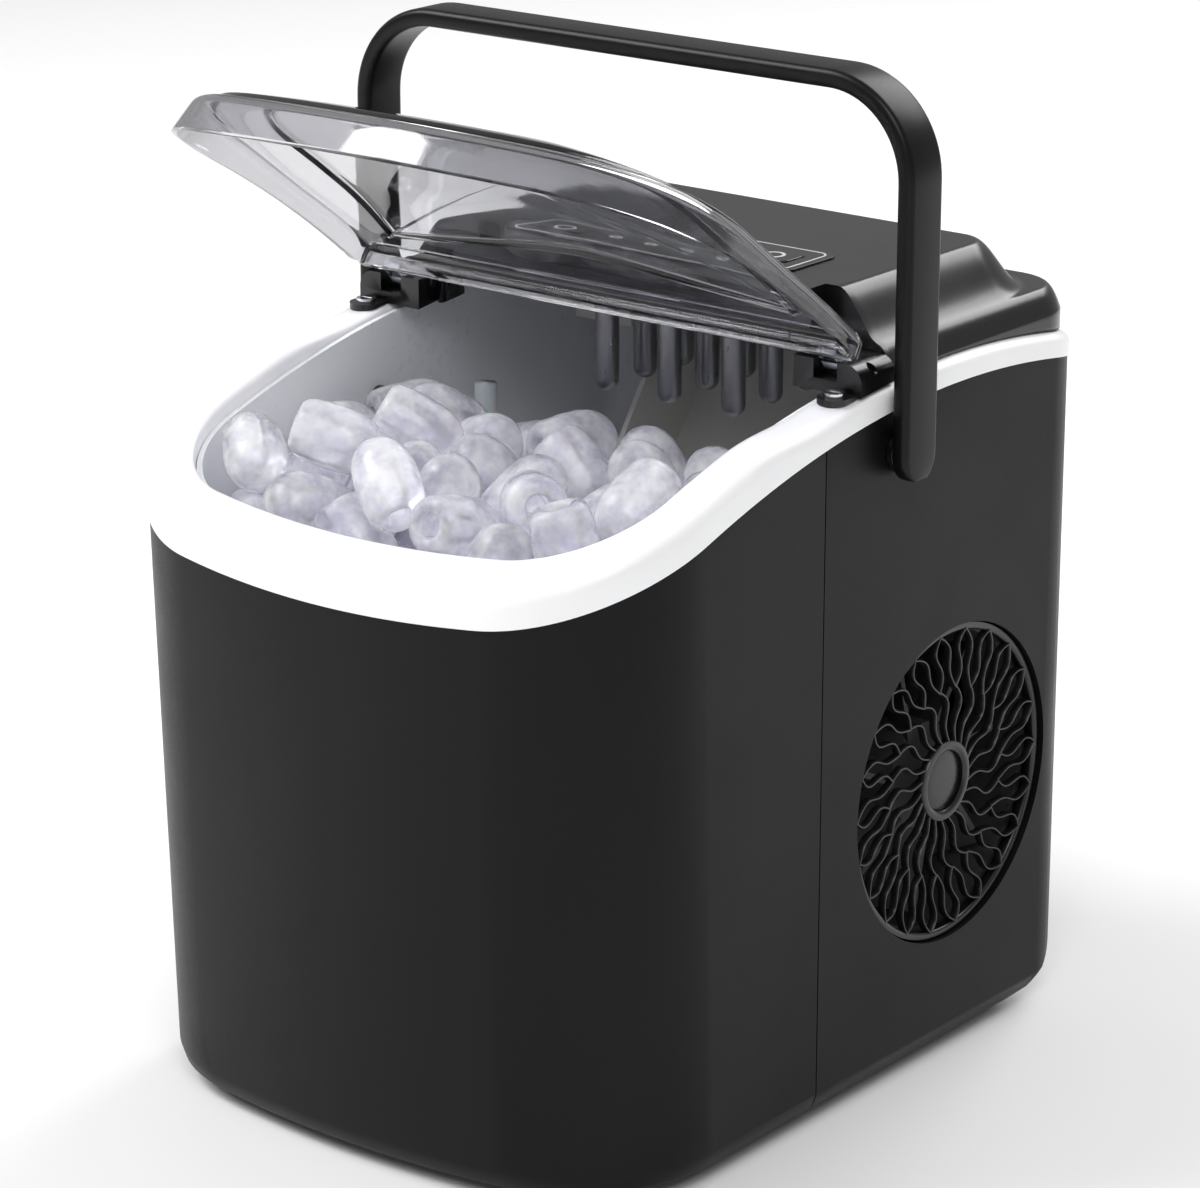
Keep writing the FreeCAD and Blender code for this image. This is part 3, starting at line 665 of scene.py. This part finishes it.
def cover_height(x, y):
    """Flat top that falls through a hollow curve to a shoulder with a rounded outer edge.

    The fall is a smooth step of the distance from the flat; the edge drops by the square of
    how far it is past the start of the rounding.
    """
    flat_x, flat_front, flat_rear = 76.0, 26.0, 98.0
    brow, run, fall = 10.0, 17.0, 17.5
    rounding, curl = 6.0, 0.24
    u = np.maximum(np.abs(x) - flat_x, 0.0)
    v = np.maximum(np.maximum((y - flat_rear) * 0.8, (flat_front - y) * 0.62), 0.0)
    z = mm("cover_top") - fall * smooth((np.hypot(u, v) - brow) / run)
    edge = inside(x, np.maximum(y, 1.0), COVER_INSET)
    return z - curl * np.clip(rounding - edge, 0.0, 9.0) ** 2


def cover_outline():
    """Edge of the cover from above: the cabinet's sides and back, notched at the hinges."""
    points, normals = outline(0.6)
    points = points - COVER_INSET * normals
    front, notch_x, notch_y = mm("cover_front"), 80.5, 22.5

    def bearing(p):
        return np.arctan2(p[:, 1] - 75.0, p[:, 0])

    right = points[(points[:, 0] > 0) & (points[:, 1] > notch_y)][::-1]
    left = points[(points[:, 0] <= 0) & (points[:, 1] > notch_y)]
    loop = np.concatenate([right[np.argsort(bearing(right))],
                           left[np.argsort(bearing(left) % (2 * math.pi))]])
    edge = mm("half_width") - COVER_INSET
    corner = [(-edge, notch_y), (-notch_x, notch_y), (-notch_x, front), (notch_x, front),
              (notch_x, notch_y), (edge, notch_y)]
    run = [loop]
    for a, b in zip(corner[:-1], corner[1:]):
        n = max(int(math.dist(a, b) / 1.6), 4)
        t = np.arange(n)[:, None] / n
        run.append(np.array(a) * (1 - t) + np.array(b) * t)
    return np.concatenate(run)


def make_cover():
    """Rings shrink from the edge to the centre over the height function; the wall hangs below."""
    edge = cover_outline()
    centre = np.array([0.0, 72.0])
    share = np.concatenate([1 - 0.0016 * np.arange(12) ** 1.55, np.linspace(0.925, 0.5, 44),
                            [0.3, 0.12, 0.0]])
    xy = centre + (edge[:, None, :] - centre) * share[None, :, None]
    z = cover_height(xy[..., 0], xy[..., 1])
    top = np.concatenate([xy, z[..., None]], 2)
    opening_half, opening_top = 78.0, 265.0     # the tray reaches the bin under the front wall
    front_face = (edge[:, 1] < mm("cover_front") + 0.5) & (np.abs(edge[:, 0]) < opening_half)
    foot = np.where(front_face, opening_top, rim(edge[:, 1]) + mm("collar_face") + 0.1)
    drop = np.linspace(0, 1, 5)[1:][::-1]
    wall_z = z[:, :1] + (foot[:, None] - z[:, :1]) * drop[None, :]
    wall = np.concatenate([np.repeat(edge[:, None, :], len(drop), 1), wall_z[..., None]], 2)
    grid = np.concatenate([wall, top], 1)
    quads = faces_of(grid, True, False)
    obj = piece("rear_cover", grid, quads, "cabinet", "black_trim", finish(abs_polished_black),
                merge=0.01, sharp=32)
    shell = obj.modifiers.new("wall", "SOLIDIFY")
    shell.thickness = 2.2 * MM
    shell.offset = -1
    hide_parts("top_cover")


# ---- control panel


KEY_SIDE = 40.0     # marks farther out than this are on a key


def strip_along(path, width, z0, z1):
    """Flat closed line of the given width along a closed path of (x, y) points."""
    step = np.roll(path, -1, 0) - np.roll(path, 1, 0)
    side = np.stack([-step[:, 1], step[:, 0]], 1) / np.linalg.norm(step, axis=1)[:, None]
    inner, outer = path - side * width / 2, path + side * width / 2
    ring = np.stack([np.c_[inner, np.full(len(path), z0)], np.c_[inner, np.full(len(path), z1)],
                     np.c_[outer, np.full(len(path), z1)], np.c_[outer, np.full(len(path), z0)]], 1)
    return ring, faces_of(ring, True, True)


def panel_marks():
    """Printed outline, a ring on each key and four small rings between, as raised lines.

    Marks on the keys stand higher by the keys' rise above the film.
    """
    z = OVERLAY[1][2]
    sunk, ink, key_rise = 0.01, 0.06, 0.42
    border = rounded_strip(118.0, 27.0, 4.0, 8) + [0.0, 41.5]
    marks = [strip_along(border, 0.8, z - sunk, z + ink)]
    a = np.linspace(0, 2 * math.pi, 28, endpoint=False)
    for cx, cy, r, w in ((45.0, 41.5, 3.6, 1.2), (-45.0, 41.5, 3.6, 1.2), (24.0, 44.5, 1.9, 1.4),
                         (8.0, 44.5, 1.9, 1.4), (-8.0, 44.5, 1.9, 1.4), (-24.0, 44.5, 1.9, 1.4)):
        rise = key_rise if abs(cx) > KEY_SIDE else 0
        circle = np.stack([cx + r * np.cos(a), cy + r * np.sin(a)], 1)
        marks.append(strip_along(circle, w, z - sunk + rise, z + ink + rise))
    return marks


def joined(parts):
    """Several (grid, quads) parts as one list of points and one of quads."""
    points, quads, start = [], [], 0
    for grid, q in parts:
        flat = np.asarray(grid).reshape(-1, 3)
        points.append(flat)
        quads.append(q + start)
        start += len(flat)
    return np.concatenate(points), np.concatenate(quads)


def middle_x(mark):
    return np.asarray(mark[0])[..., 0].mean()


def make_panel():
    """Film and keys from the CAD nodes; each key's mark rides with its key."""
    film = finish(printed_film)
    softened("control_overlay", film, 0.15)
    softened("power_key", film, 0.35, 3)
    softened("select_key", film, 0.35, 3)
    marks = panel_marks()
    for body, sign in (("power_button", -1), ("select_button", 1)):
        own = [m for m in marks if middle_x(m) * sign > KEY_SIDE]
        piece(body + "_mark", *joined(own), body, "key_white", finish(panel_ink))
    fixed = [m for m in marks if abs(middle_x(m)) < KEY_SIDE]
    piece("panel_print", *joined(fixed), "cabinet", "key_white", finish(panel_ink))


# ---- lid


def lid_outline():
    """Edge of the lid from above, with outward normals.

    The cabinet's front outline moved in a little, closed behind by a straight rear edge with
    two small corner arcs.
    """
    points, normals = outline(0.55)
    rear, r = mm("lid_rear"), 5.0
    points = points - LID_INSET * normals
    keep = points[:, 1] < rear - r
    points, normals = points[keep], normals[keep]
    turn = np.arctan2(points[:, 1] - LID_MIDDLE[1], points[:, 0])
    order = np.argsort(-((math.pi / 2 - turn) % (2 * math.pi)))
    points, normals = points[order], normals[order]
    ex = mm("half_width") - LID_INSET
    a = np.radians(np.linspace(0, 90, 10))
    ray = np.stack([np.cos(a), np.sin(a)], 1)
    right = np.array([ex - r, rear - r]) + r * ray
    left = np.array([r - ex, rear - r]) + r * ray[::-1] * [-1, 1]
    x = np.linspace(ex - r, r - ex, 110)[1:-1]
    rear_edge = np.stack([x, np.full(len(x), rear)], 1)
    return (np.concatenate([points, right, rear_edge, left]),
            np.concatenate([normals, ray, np.tile([0.0, 1.0], (len(x), 1)), ray[::-1] * [-1, 1]]))


def lid_wall_height(y):
    """The lid's wall is low at the hinge and grows to the front."""
    return 9.0 + 8.5 * smooth((-y - 40.0) / 105.0)


def lid_layer(edge, normal, t):
    """One skin of the lid, t mm in from the outside: wall, quarter-circle roll, crowned roof.

    The roof is crowned by 8.8 mm * across * fore * aft, each a smooth share that falls to the
    sides, the front and the hinge, times 1 - exp(-d / 9) with the distance d from the edge.
    The inner skin also carries a raised bead 20 mm in from the edge, and the outer skin a
    step of 0.5 mm above it.
    """
    roll, draft = 5.5 - t, 0.6      # radius of the roll, and how far the wall leans in
    foot = rim(edge[:, 1]) + mm("collar_crown") + LID_GAP
    top = foot + lid_wall_height(edge[:, 1]) - t
    a = np.radians(np.linspace(0, 90, 9))
    wall_in = np.linspace(0, draft, 5)
    inset = np.concatenate([t + wall_in, t + draft + roll * (1 - np.cos(a[1:]))])
    share = np.linspace(0, 1, 5)
    z = np.concatenate([foot[:, None] + (top - roll - foot)[:, None] * share,
                        (top - roll)[:, None] + roll * np.sin(a[1:])], 1)
    xy = edge[:, None] - normal[:, None] * inset[None, :, None]
    ring = xy[:, -1]
    centre = np.array(LID_MIDDLE)
    reach = np.linalg.norm(ring - centre, axis=1)
    d = np.concatenate([np.linspace(0.8, 13, 9), np.linspace(14, 26, 17), np.linspace(30, 62, 9)])
    s = 1 - d[None, :] / reach[:, None] * np.minimum(reach[:, None] / 64.0, 1.0)
    s = np.concatenate([s, (s[:, -1:] * np.array([0.6, 0.3, 0.0]))], 1)
    roof_xy = centre + (ring[:, None] - centre) * s[..., None]
    depth = (1 - s) * reach[:, None]
    y = roof_xy[..., 1]
    base = rim(y) + mm("collar_crown") + LID_GAP + lid_wall_height(y) - t
    across = 1 - np.minimum(np.abs(roof_xy[..., 0]) / 110.0, 1) ** 2.4
    fore = 1 - np.exp(-np.maximum(y + 145.0, 0) / 22.0)
    aft = 1 - 0.9 * smooth((y + 50.0) / 50.0)
    crown = 8.8 * across * fore * aft * (1 - np.exp(-depth / 9.0))
    bead = np.exp(-((depth - 20.0) / 1.1) ** 2)
    base = base + crown + (-1.5 * bead if t > 0 else 0.5 * smooth((depth - 19.0) / 3.0))
    roof = np.concatenate([roof_xy, base[..., None]], 2)
    return np.concatenate([np.concatenate([xy, z[..., None]], 2), roof], 1)


def make_lid():
    """Outer and inner skins joined along the free edge; built closed, then turned open."""
    edge, normal = lid_outline()
    outer = lid_layer(edge, normal, 0.0)
    inner = lid_layer(edge, normal, mm("lid_wall"))
    grid = np.concatenate([outer[:, ::-1], inner], 1)
    grid = turned_about_x(grid, LID_AXIS, LID_OPEN)
    quads = faces_of(grid, True, False)
    obj = piece("clear_lid", grid, quads, "lid", "smoke_clear", finish(smoked_san), merge=0.01,
                sharp=50)
    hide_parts("lid_shell")
    piece("lid_lugs", *joined([lid_lug(1), lid_lug(-1)]), "lid", "smoke_clear",
          finish(smoked_san))


def lid_lug(side):
    """Clear hinge arm: from the lid's rear wall back to a round eye on the pin."""
    y, z = LID_AXIS[1], LID_AXIS[2]
    a = np.radians(np.linspace(-90, 90, 15))
    eye = np.stack([y + 3.4 * np.cos(a), z + 3.4 * np.sin(a)], 1)
    front = mm("lid_rear") + 0.1
    arm = np.array([(front, z + 2.4), (front, z - 2.6)])
    ring = np.concatenate([eye, arm])
    middle = ring.mean(0)
    rows = []
    for x, s in ((90.8, 0.0), (90.8, 0.9), (91.3, 1.0), (98.7, 1.0), (99.2, 0.9), (99.2, 0.0)):
        yz = middle + (ring - middle) * s
        rows.append(np.c_[np.full(len(ring), side * x), yz])
    grid = turned_about_x(np.stack(rows), LID_AXIS, LID_OPEN)
    return grid, faces_of(grid, False, True)


# ---- handle


def make_handle():
    """A rounded strap section is carried up one leg, round the corners and down the other."""
    t = mm("handle_thickness")
    w = HANDLE[1][1] - HANDLE[0][1]
    x = HANDLE[1][0] - t / 2
    top = HANDLE[1][2] - t / 2
    r = mm("handle_radius") - t / 2
    foot = HANDLE_AXIS[2] - w / 2
    ease = 1 - np.cos(np.linspace(0, math.pi / 2, 14))
    leg_z = np.concatenate([foot + ease * w / 2, np.linspace(foot + w / 2, top - r, 22)[1:]])
    leg = np.stack([np.full(len(leg_z), x), leg_z], 1)
    turn = np.radians(np.linspace(0, 90, 22))[1:]
    corner = np.stack([x - r + r * np.cos(turn), top - r + r * np.sin(turn)], 1)
    bar_x = np.linspace(x - r, 0, 26)[1:]
    bar = np.stack([bar_x, np.full(len(bar_x), top)], 1)
    half = np.concatenate([leg, corner, bar])
    path = np.concatenate([half, (half * [-1, 1])[::-1][1:]])
    step = np.gradient(path, axis=0)
    step /= np.linalg.norm(step, axis=1)[:, None]
    out = np.stack([step[:, 1], -step[:, 0]], 1)
    from_end = np.clip((path[:, 1] - foot) / (w / 2), 0, 1)
    wide = np.sqrt(np.clip(1 - (1 - from_end) ** 2, 0, 1))
    section = rounded_strip(t, w, 2.4, 6)
    thin = np.minimum(1.0, 0.45 + wide * 1.2)
    across = section[None, :, 0] * thin[:, None]
    deep = section[None, :, 1] * np.maximum(wide, 0.001)[:, None]
    grid = np.stack([path[:, None, 0] + out[:, None, 0] * across,
                     HANDLE_AXIS[1] + deep,
                     path[:, None, 1] + out[:, None, 1] * across], 2)
    quads = faces_of(grid, False, True)
    obj = piece("handle_strap", grid, quads, "handle", "black_trim", finish(abs_handle_black),
                merge=0.02, sharp=70)
    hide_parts("carry_handle")


# ---- fan grille


def rib_set(count, r0, r1, start, sweep, wave, width, depth):
    """Curved ribs: angle = start + sweep * t + wave * sin(2 pi t), with a narrow rounded top."""
    t = np.linspace(0, 1, 15)
    base = 2 * math.pi * np.arange(count)[:, None] / count + start
    ang = base + sweep * t + wave * np.sin(2 * math.pi * t)
    r = np.tile(r0 + (r1 - r0) * t, (count, 1))
    y, z = r * np.cos(ang), r * np.sin(ang)
    dy, dz = np.gradient(y, axis=1), np.gradient(z, axis=1)
    n = np.hypot(dy, dz)
    sy, sz = -dz / n, dy / n
    section = np.array([(-0.5, 0.0), (-0.46, -0.72), (-0.2, -1.0), (0.2, -1.0), (0.46, -0.72),
                        (0.5, 0.0)])
    edge_r, dish = 55.0, 1.4        # the ribs' fronts are dished by this much at the middle
    front = GRILLE[1][0] - 0.3 - dish * (1 - (r / edge_r) ** 2)
    off = section[:, 0] * width
    x = front[..., None] - (1.0 + section[:, 1]) * depth
    py = y[..., None] + sy[..., None] * off
    pz = z[..., None] + sz[..., None] * off
    grid = np.stack([x, py + FAN_AXIS[1], pz + FAN_AXIS[2]], -1)
    one = faces_of(grid[0], False, True)
    cap_a = np.array([[0, 1, 4, 5], [1, 2, 3, 4]])
    cap_b = cap_a[:, ::-1] + (grid.shape[1] - 1) * grid.shape[2]
    one = np.concatenate([one, cap_a, cap_b])
    return grid, repeated(one, count, grid.shape[1] * grid.shape[2])


def ring_part(profile, count):
    """A profile of (radius, x) turned about the fan's axis."""
    grid = lathe(profile, count) + [0.0, FAN_AXIS[1], FAN_AXIS[2]]
    return grid, faces_of(grid, False, True)


def make_grille():
    """Three sets of 22 wavy ribs between the outer ring and the hub, with a plug in the hub."""
    face = GRILLE[1][0]
    parts = [rib_set(22, 13.6, 34.5, 0.0, 0.30, 0.085, 1.25, 2.6),
             rib_set(22, 34.0, 55.2, 0.30, 0.26, 0.045, 1.2, 2.6),
             rib_set(22, 34.0, 55.2, 0.30, -0.03, -0.05, 1.2, 2.6)]
    rings = [([(54.6, 4.0), (54.4, 1.4), (54.8, 0.7), (55.6, 0.35), (57.0, 0.5), (57.4, 1.2),
               (57.4, 4.0), (54.6, 4.0)], 120),
             ([(11.2, 3.6), (11.0, 1.9), (11.5, 1.3), (12.8, 1.0), (14.2, 1.3), (14.6, 2.0),
               (14.6, 4.0), (11.2, 4.0), (11.2, 3.6)], 120),
             ([(0.0, 2.6), (6.0, 2.65), (10.4, 2.9), (11.3, 3.2), (11.3, 4.0), (0.0, 4.0)], 48)]
    parts += [ring_part([(r, face - back) for r, back in profile], count)
              for profile, count in rings]
    obj = piece("grille_ribs", *joined(parts), "cabinet", "black_trim", finish(grille_black),
                merge=0.003)
    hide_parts("fan_grille")


# ---- ice


def bullet_frames():
    """Centre and long axis of each ice piece, read from the solids of the ice node."""
    bm = bmesh.new()
    bm.from_mesh(frame["nodes"]["ice_bullets"].data)
    bmesh.ops.remove_doubles(bm, verts=bm.verts, dist=1e-5)
    bm.verts.ensure_lookup_table()
    seen = np.zeros(len(bm.verts), bool)
    found = []
    for first in bm.verts:
        if seen[first.index]:
            continue
        seen[first.index] = True
        group, queue = [], [first]
        while queue:
            v = queue.pop()
            group.append(v.co[:])
            for e in v.link_edges:
                w = e.other_vert(v)
                if not seen[w.index]:
                    seen[w.index] = True
                    queue.append(w)
        co = np.array(group) / MM
        found.append(frame_of(co))
    bm.free()
    found.sort(key=lambda f: tuple(np.round(f[0], 2)))
    return found


def frame_of(co):
    """Centre of a piece of ice and its long axis, pointing at the domed, narrower end.

    The axis is the principal direction along which the points reach farthest; the centre is
    halfway along it. The end whose points lie farther from the axis is the blunt one.
    """
    low, high = co.min(0), co.max(0)
    mid = (low + high) / 2
    _, vectors = np.linalg.eigh(np.cov((co - co.mean(0)).T))
    spread = [np.ptp(co @ vectors[:, k]) for k in range(3)]
    axis = vectors[:, int(np.argmax(spread))]
    along = co @ axis
    centre = mid + axis * ((along.min() + along.max()) / 2 - mid @ axis)
    cross = co - centre
    wide = np.linalg.norm(cross - np.outer(cross @ axis, axis), axis=1)
    ends = cross @ axis
    tip = 9.0       # mm from the centre beyond which a point belongs to an end
    if wide[ends > tip].mean() > wide[ends < -tip].mean():
        axis = -axis
    return centre, axis


def make_ice():
    """Each bullet is a profile turned about its axis: dome, barrel, blunt end and a deep hole.

    The radius is multiplied by 0.965 + lump * a sum of three sines of the angle and the place
    along the profile, so that no two pieces are alike.
    """
    frames = bullet_frames()
    count, turns = len(frames), 20
    profile = np.array([(0.0, 16.6), (2.4, 16.4), (5.0, 15.5), (7.6, 13.6), (9.7, 10.6),
                        (10.9, 7.0), (11.35, 2.6), (11.4, -2.0), (11.2, -6.0), (10.8, -10.0),
                        (10.1, -13.2), (8.6, -14.9), (6.6, -15.3), (5.0, -15.0), (4.3, -14.0),
                        (4.1, -11.0), (3.9, -6.0), (3.6, 0.0), (3.0, 4.0), (1.6, 5.8), (0.0, 6.2)])
    profile = profile * (mm("ice_radius") / profile[:, 0].max())
    rng = np.random.default_rng(11)
    a = 2 * math.pi * np.arange(turns) / turns
    phase = rng.uniform(0, 2 * math.pi, (count, 4))
    lump = rng.uniform(0.35, 1.0, (count, 1, 1))
    t = np.linspace(0, 1, len(profile))[None, :, None]
    ang = a[None, None, :]
    ph = phase[:, :, None, None]
    wave = (0.016 * np.sin(2 * ang + ph[:, 0] + 4 * t) + 0.011 * np.sin(3 * ang + ph[:, 1] - 7 * t)
            + 0.008 * np.sin(5 * ang + ph[:, 2] + 12 * t))
    radius = profile[None, :, 0, None] * (0.965 + lump * wave)
    height = profile[None, :, 1, None] * (0.985 + 0.012 * np.sin(ang + ph[:, 3]))
    height = np.broadcast_to(height, radius.shape)
    axis = np.array([f[1] for f in frames])
    centre = np.array([f[0] for f in frames])
    helper = np.where(np.abs(axis[:, 2:3]) < 0.9, [[0, 0, 1.0]], [[1.0, 0, 0]])
    side = np.cross(axis, helper)
    side /= np.linalg.norm(side, axis=1)[:, None]
    up = np.cross(axis, side)
    grid = (centre[:, None, None] + height[..., None] * axis[:, None, None]
            + (radius * np.cos(ang))[..., None] * side[:, None, None]
            + (radius * np.sin(ang))[..., None] * up[:, None, None])
    one = faces_of(grid[0], False, True)
    quads = repeated(one, count, len(profile) * turns)
    obj = piece("ice_pieces", grid, quads, "cabinet", "ice", finish(clear_ice), merge=0.004,
                sharp=80)
    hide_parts("ice_bullets")


# ---- cabinet, mechanism and small parts


# Each CAD node that keeps its shape: its finish, and the rounding of its edges in mm.
CABINET = {"front_shell": (abs_satin_black, 0.6), "rear_shell": (abs_satin_black, 0),
           "base_pan": (zinc_plate, 0.3), "feet": (nitrile_rubber, 0.6),
           "bin_liner": (hips_white, 0.6), "foam_jacket": (foam_beads, 0.8)}

FITTINGS = {"hinge_block_left": (abs_polished_black, 0.5),
            "hinge_block_right": (abs_polished_black, 0.5),
            "hinge_pins": (zinc_plate, 0.2), "hinge_screws": (bright_chrome, 0.25),
            "handle_pivots": (zinc_plate, 0.4), "handle_washers": (abs_polished_black, 0.4),
            "drain_spout": (acetal_white, 0.3), "drain_plug": (nitrile_rubber, 0.6),
            "cord_gland": (nitrile_rubber, 0.5), "intake_screen": (nylon_grey, 0.2)}

MECHANISM = {"evaporator_plate": (nickel_plate, 0.5), "evaporator_fingers": (nickel_plate, 0.3),
             "water_tray": (acetal_white, 0.4), "tray_comb": (acetal_white, 0.3),
             "tray_shaft": (zinc_plate, 0.2), "tray_motor": (acetal_white, 0.8),
             "tray_bearing": (acetal_white, 0.5), "ice_sensors": (nylon_grey, 0.3),
             "ice_basket": (basket_plastic, 0.4), "fan_bracket": (nylon_grey, 0.4),
             "fan_motor": (zinc_plate, 0.4), "fan_rotor": (nylon_grey, 0.4),
             "condenser": (mill_aluminium, 0.0), "compressor": (stove_enamel, 1.2),
             "compressor_mounts": (nitrile_rubber, 0.5), "refrigerant_line": (drawn_copper, 0.0),
             "water_pump": (nylon_grey, 0.6), "pump_hose": (silicone_hose, 0.0),
             "control_board": (circuit_laminate, 0.15), "main_board": (circuit_laminate, 0.15)}


def finish_group(group):
    """Softens every node of a group in its own finish."""
    for node, (maker, width) in group.items():
        softened(node, finish(maker), width)


# ---- stage


def make_stage():
    """Pale floor, three soft boxes, an even world light and the camera."""
    floor = bpy.data.meshes.new("floor")
    half = 9.0
    floor.from_pydata([(-half, -half, 0), (half, -half, 0), (half, half, 0), (-half, half, 0)],
                      [], [(0, 1, 2, 3)])
    obj = linked("floor", floor)
    floor.materials.append(finish(floor_paper))
    lamp("key", (-1.7, -1.1, 2.2), 1.5, 62.0)
    lamp("fill", (1.6, -1.9, 2.6), 1.6, 40.0)
    lamp("back", (0.2, 2.1, 2.1), 1.8, 50.0)
    scene = bpy.context.scene
    scene.world = studio_world()
    scene.view_settings.view_transform = "Standard"
    scene.view_settings.look = "None"
    add_camera()


def studio_world():
    """White seamless background, and a dimmer even light from all round on the object."""
    world = bpy.data.worlds.new("studio")
    world.use_nodes = True
    tree = world.node_tree
    tree.nodes.clear()
    seen = add(tree, "Background", {"Color": (1, 1, 1, 1), "Strength": 1.0})
    light = add(tree, "Background", {"Color": (1, 1, 1, 1), "Strength": 0.36})
    camera = add(tree, "LightPath", out="Is Camera Ray")
    mixed = add(tree, "MixShader", {0: camera, 1: light, 2: seen})
    add(tree, "OutputWorld", {"Surface": mixed})
    return world


def lamp(name, place, size, power):
    """A large square soft box aimed at the middle of the machine."""
    data = bpy.data.lights.new(name, "AREA")
    data.shape = "SQUARE"
    data.size = size
    data.energy = power
    obj = linked(name, data)
    obj.location = place
    middle = Vector((0, 0, 0.16))
    obj.rotation_euler = (middle - Vector(place)).to_track_quat("-Z", "Y").to_euler()


def add_camera():
    """Camera 1.5 m away, turned 38.5 degrees to the right of the front and raised 18 degrees."""
    turn, rise, distance = math.radians(38.46), math.radians(18.02), 1.5269
    aim = Vector((0.00127, 0.00101, 0.1649))
    data = bpy.data.cameras.new("camera")
    data.sensor_width = 36.0
    data.lens = 131.08
    obj = linked("camera", data)
    away = Vector((math.cos(rise) * math.sin(turn), -math.cos(rise) * math.cos(turn),
                   math.sin(rise)))
    obj.location = aim + distance * away
    obj.rotation_euler = (aim - obj.location).to_track_quat("-Z", "Y").to_euler()
    bpy.context.scene.camera = obj


# ---- operators


class ICEMAKER_OT_stage(bpy.types.Operator):
    """Add the floor, soft lights and camera"""
    bl_idname = "icemaker.stage"
    bl_label = "Stage"

    def execute(self, context):
        make_stage()
        return {"FINISHED"}


class ICEMAKER_OT_cabinet(bpy.types.Operator):
    """Finish the black shells, base, feet and white liner"""
    bl_idname = "icemaker.cabinet"
    bl_label = "Cabinet"

    def execute(self, context):
        finish_group(CABINET)
        return {"FINISHED"}


class ICEMAKER_OT_collar(bpy.types.Operator):
    """Build the white collar round the bin"""
    bl_idname = "icemaker.collar"
    bl_label = "Collar"

    def execute(self, context):
        make_collar()
        return {"FINISHED"}


class ICEMAKER_OT_cover(bpy.types.Operator):
    """Build the domed rear cover"""
    bl_idname = "icemaker.cover"
    bl_label = "Rear cover"

    def execute(self, context):
        make_cover()
        return {"FINISHED"}


class ICEMAKER_OT_panel(bpy.types.Operator):
    """Build the control film, keys and printed marks"""
    bl_idname = "icemaker.panel"
    bl_label = "Control panel"

    def execute(self, context):
        make_panel()
        return {"FINISHED"}


class ICEMAKER_OT_lid(bpy.types.Operator):
    """Build the clear lid and its hinge lugs"""
    bl_idname = "icemaker.lid"
    bl_label = "Lid"

    def execute(self, context):
        make_lid()
        return {"FINISHED"}


class ICEMAKER_OT_handle(bpy.types.Operator):
    """Build the carry handle"""
    bl_idname = "icemaker.handle"
    bl_label = "Handle"

    def execute(self, context):
        make_handle()
        return {"FINISHED"}


class ICEMAKER_OT_grille(bpy.types.Operator):
    """Build the fan grille's rings and wavy ribs"""
    bl_idname = "icemaker.grille"
    bl_label = "Fan grille"

    def execute(self, context):
        make_grille()
        return {"FINISHED"}


class ICEMAKER_OT_ice(bpy.types.Operator):
    """Build the ice bullets"""
    bl_idname = "icemaker.ice"
    bl_label = "Ice"

    def execute(self, context):
        make_ice()
        return {"FINISHED"}


class ICEMAKER_OT_fittings(bpy.types.Operator):
    """Finish the hinges, pivots, drain and cable gland"""
    bl_idname = "icemaker.fittings"
    bl_label = "Fittings"

    def execute(self, context):
        finish_group(FITTINGS)
        return {"FINISHED"}


class ICEMAKER_OT_mechanism(bpy.types.Operator):
    """Finish the ice-making mechanism and cooling parts"""
    bl_idname = "icemaker.mechanism"
    bl_label = "Mechanism"

    def execute(self, context):
        finish_group(MECHANISM)
        return {"FINISHED"}


OPERATORS = (ICEMAKER_OT_stage, ICEMAKER_OT_cabinet, ICEMAKER_OT_collar, ICEMAKER_OT_cover,
             ICEMAKER_OT_panel, ICEMAKER_OT_lid, ICEMAKER_OT_handle, ICEMAKER_OT_grille,
             ICEMAKER_OT_ice, ICEMAKER_OT_fittings, ICEMAKER_OT_mechanism)


class ICEMAKER_PT_panel(bpy.types.Panel):
    """Lists the steps that build the machine"""
    bl_label = "Ice Maker"
    bl_idname = "ICEMAKER_PT_panel"
    bl_space_type = "VIEW_3D"
    bl_region_type = "UI"
    bl_category = "Ice Maker"

    def draw(self, context):
        for group in (context.scene.ice_maker_sizes, context.scene.ice_maker_finishes):
            column = self.layout.column(align=True)
            for key in group.__annotations__:
                column.prop(group, key)
        for op in OPERATORS:
            self.layout.operator(op.bl_idname)


CLASSES = (IceMakerSizes, IceMakerFinishes) + OPERATORS + (ICEMAKER_PT_panel,)


def register():
    for cls in CLASSES:
        bpy.utils.register_class(cls)
    bpy.types.Scene.ice_maker_sizes = bpy.props.PointerProperty(type=IceMakerSizes)
    bpy.types.Scene.ice_maker_finishes = bpy.props.PointerProperty(type=IceMakerFinishes)


def unregister():
    del bpy.types.Scene.ice_maker_finishes
    del bpy.types.Scene.ice_maker_sizes
    for cls in reversed(CLASSES):
        bpy.utils.unregister_class(cls)


def main():
    """Builds the machine."""
    register()
    for step in OPERATORS:
        getattr(bpy.ops.icemaker, step.bl_idname.split(".")[1])()


if __name__ == "__main__":
    main()
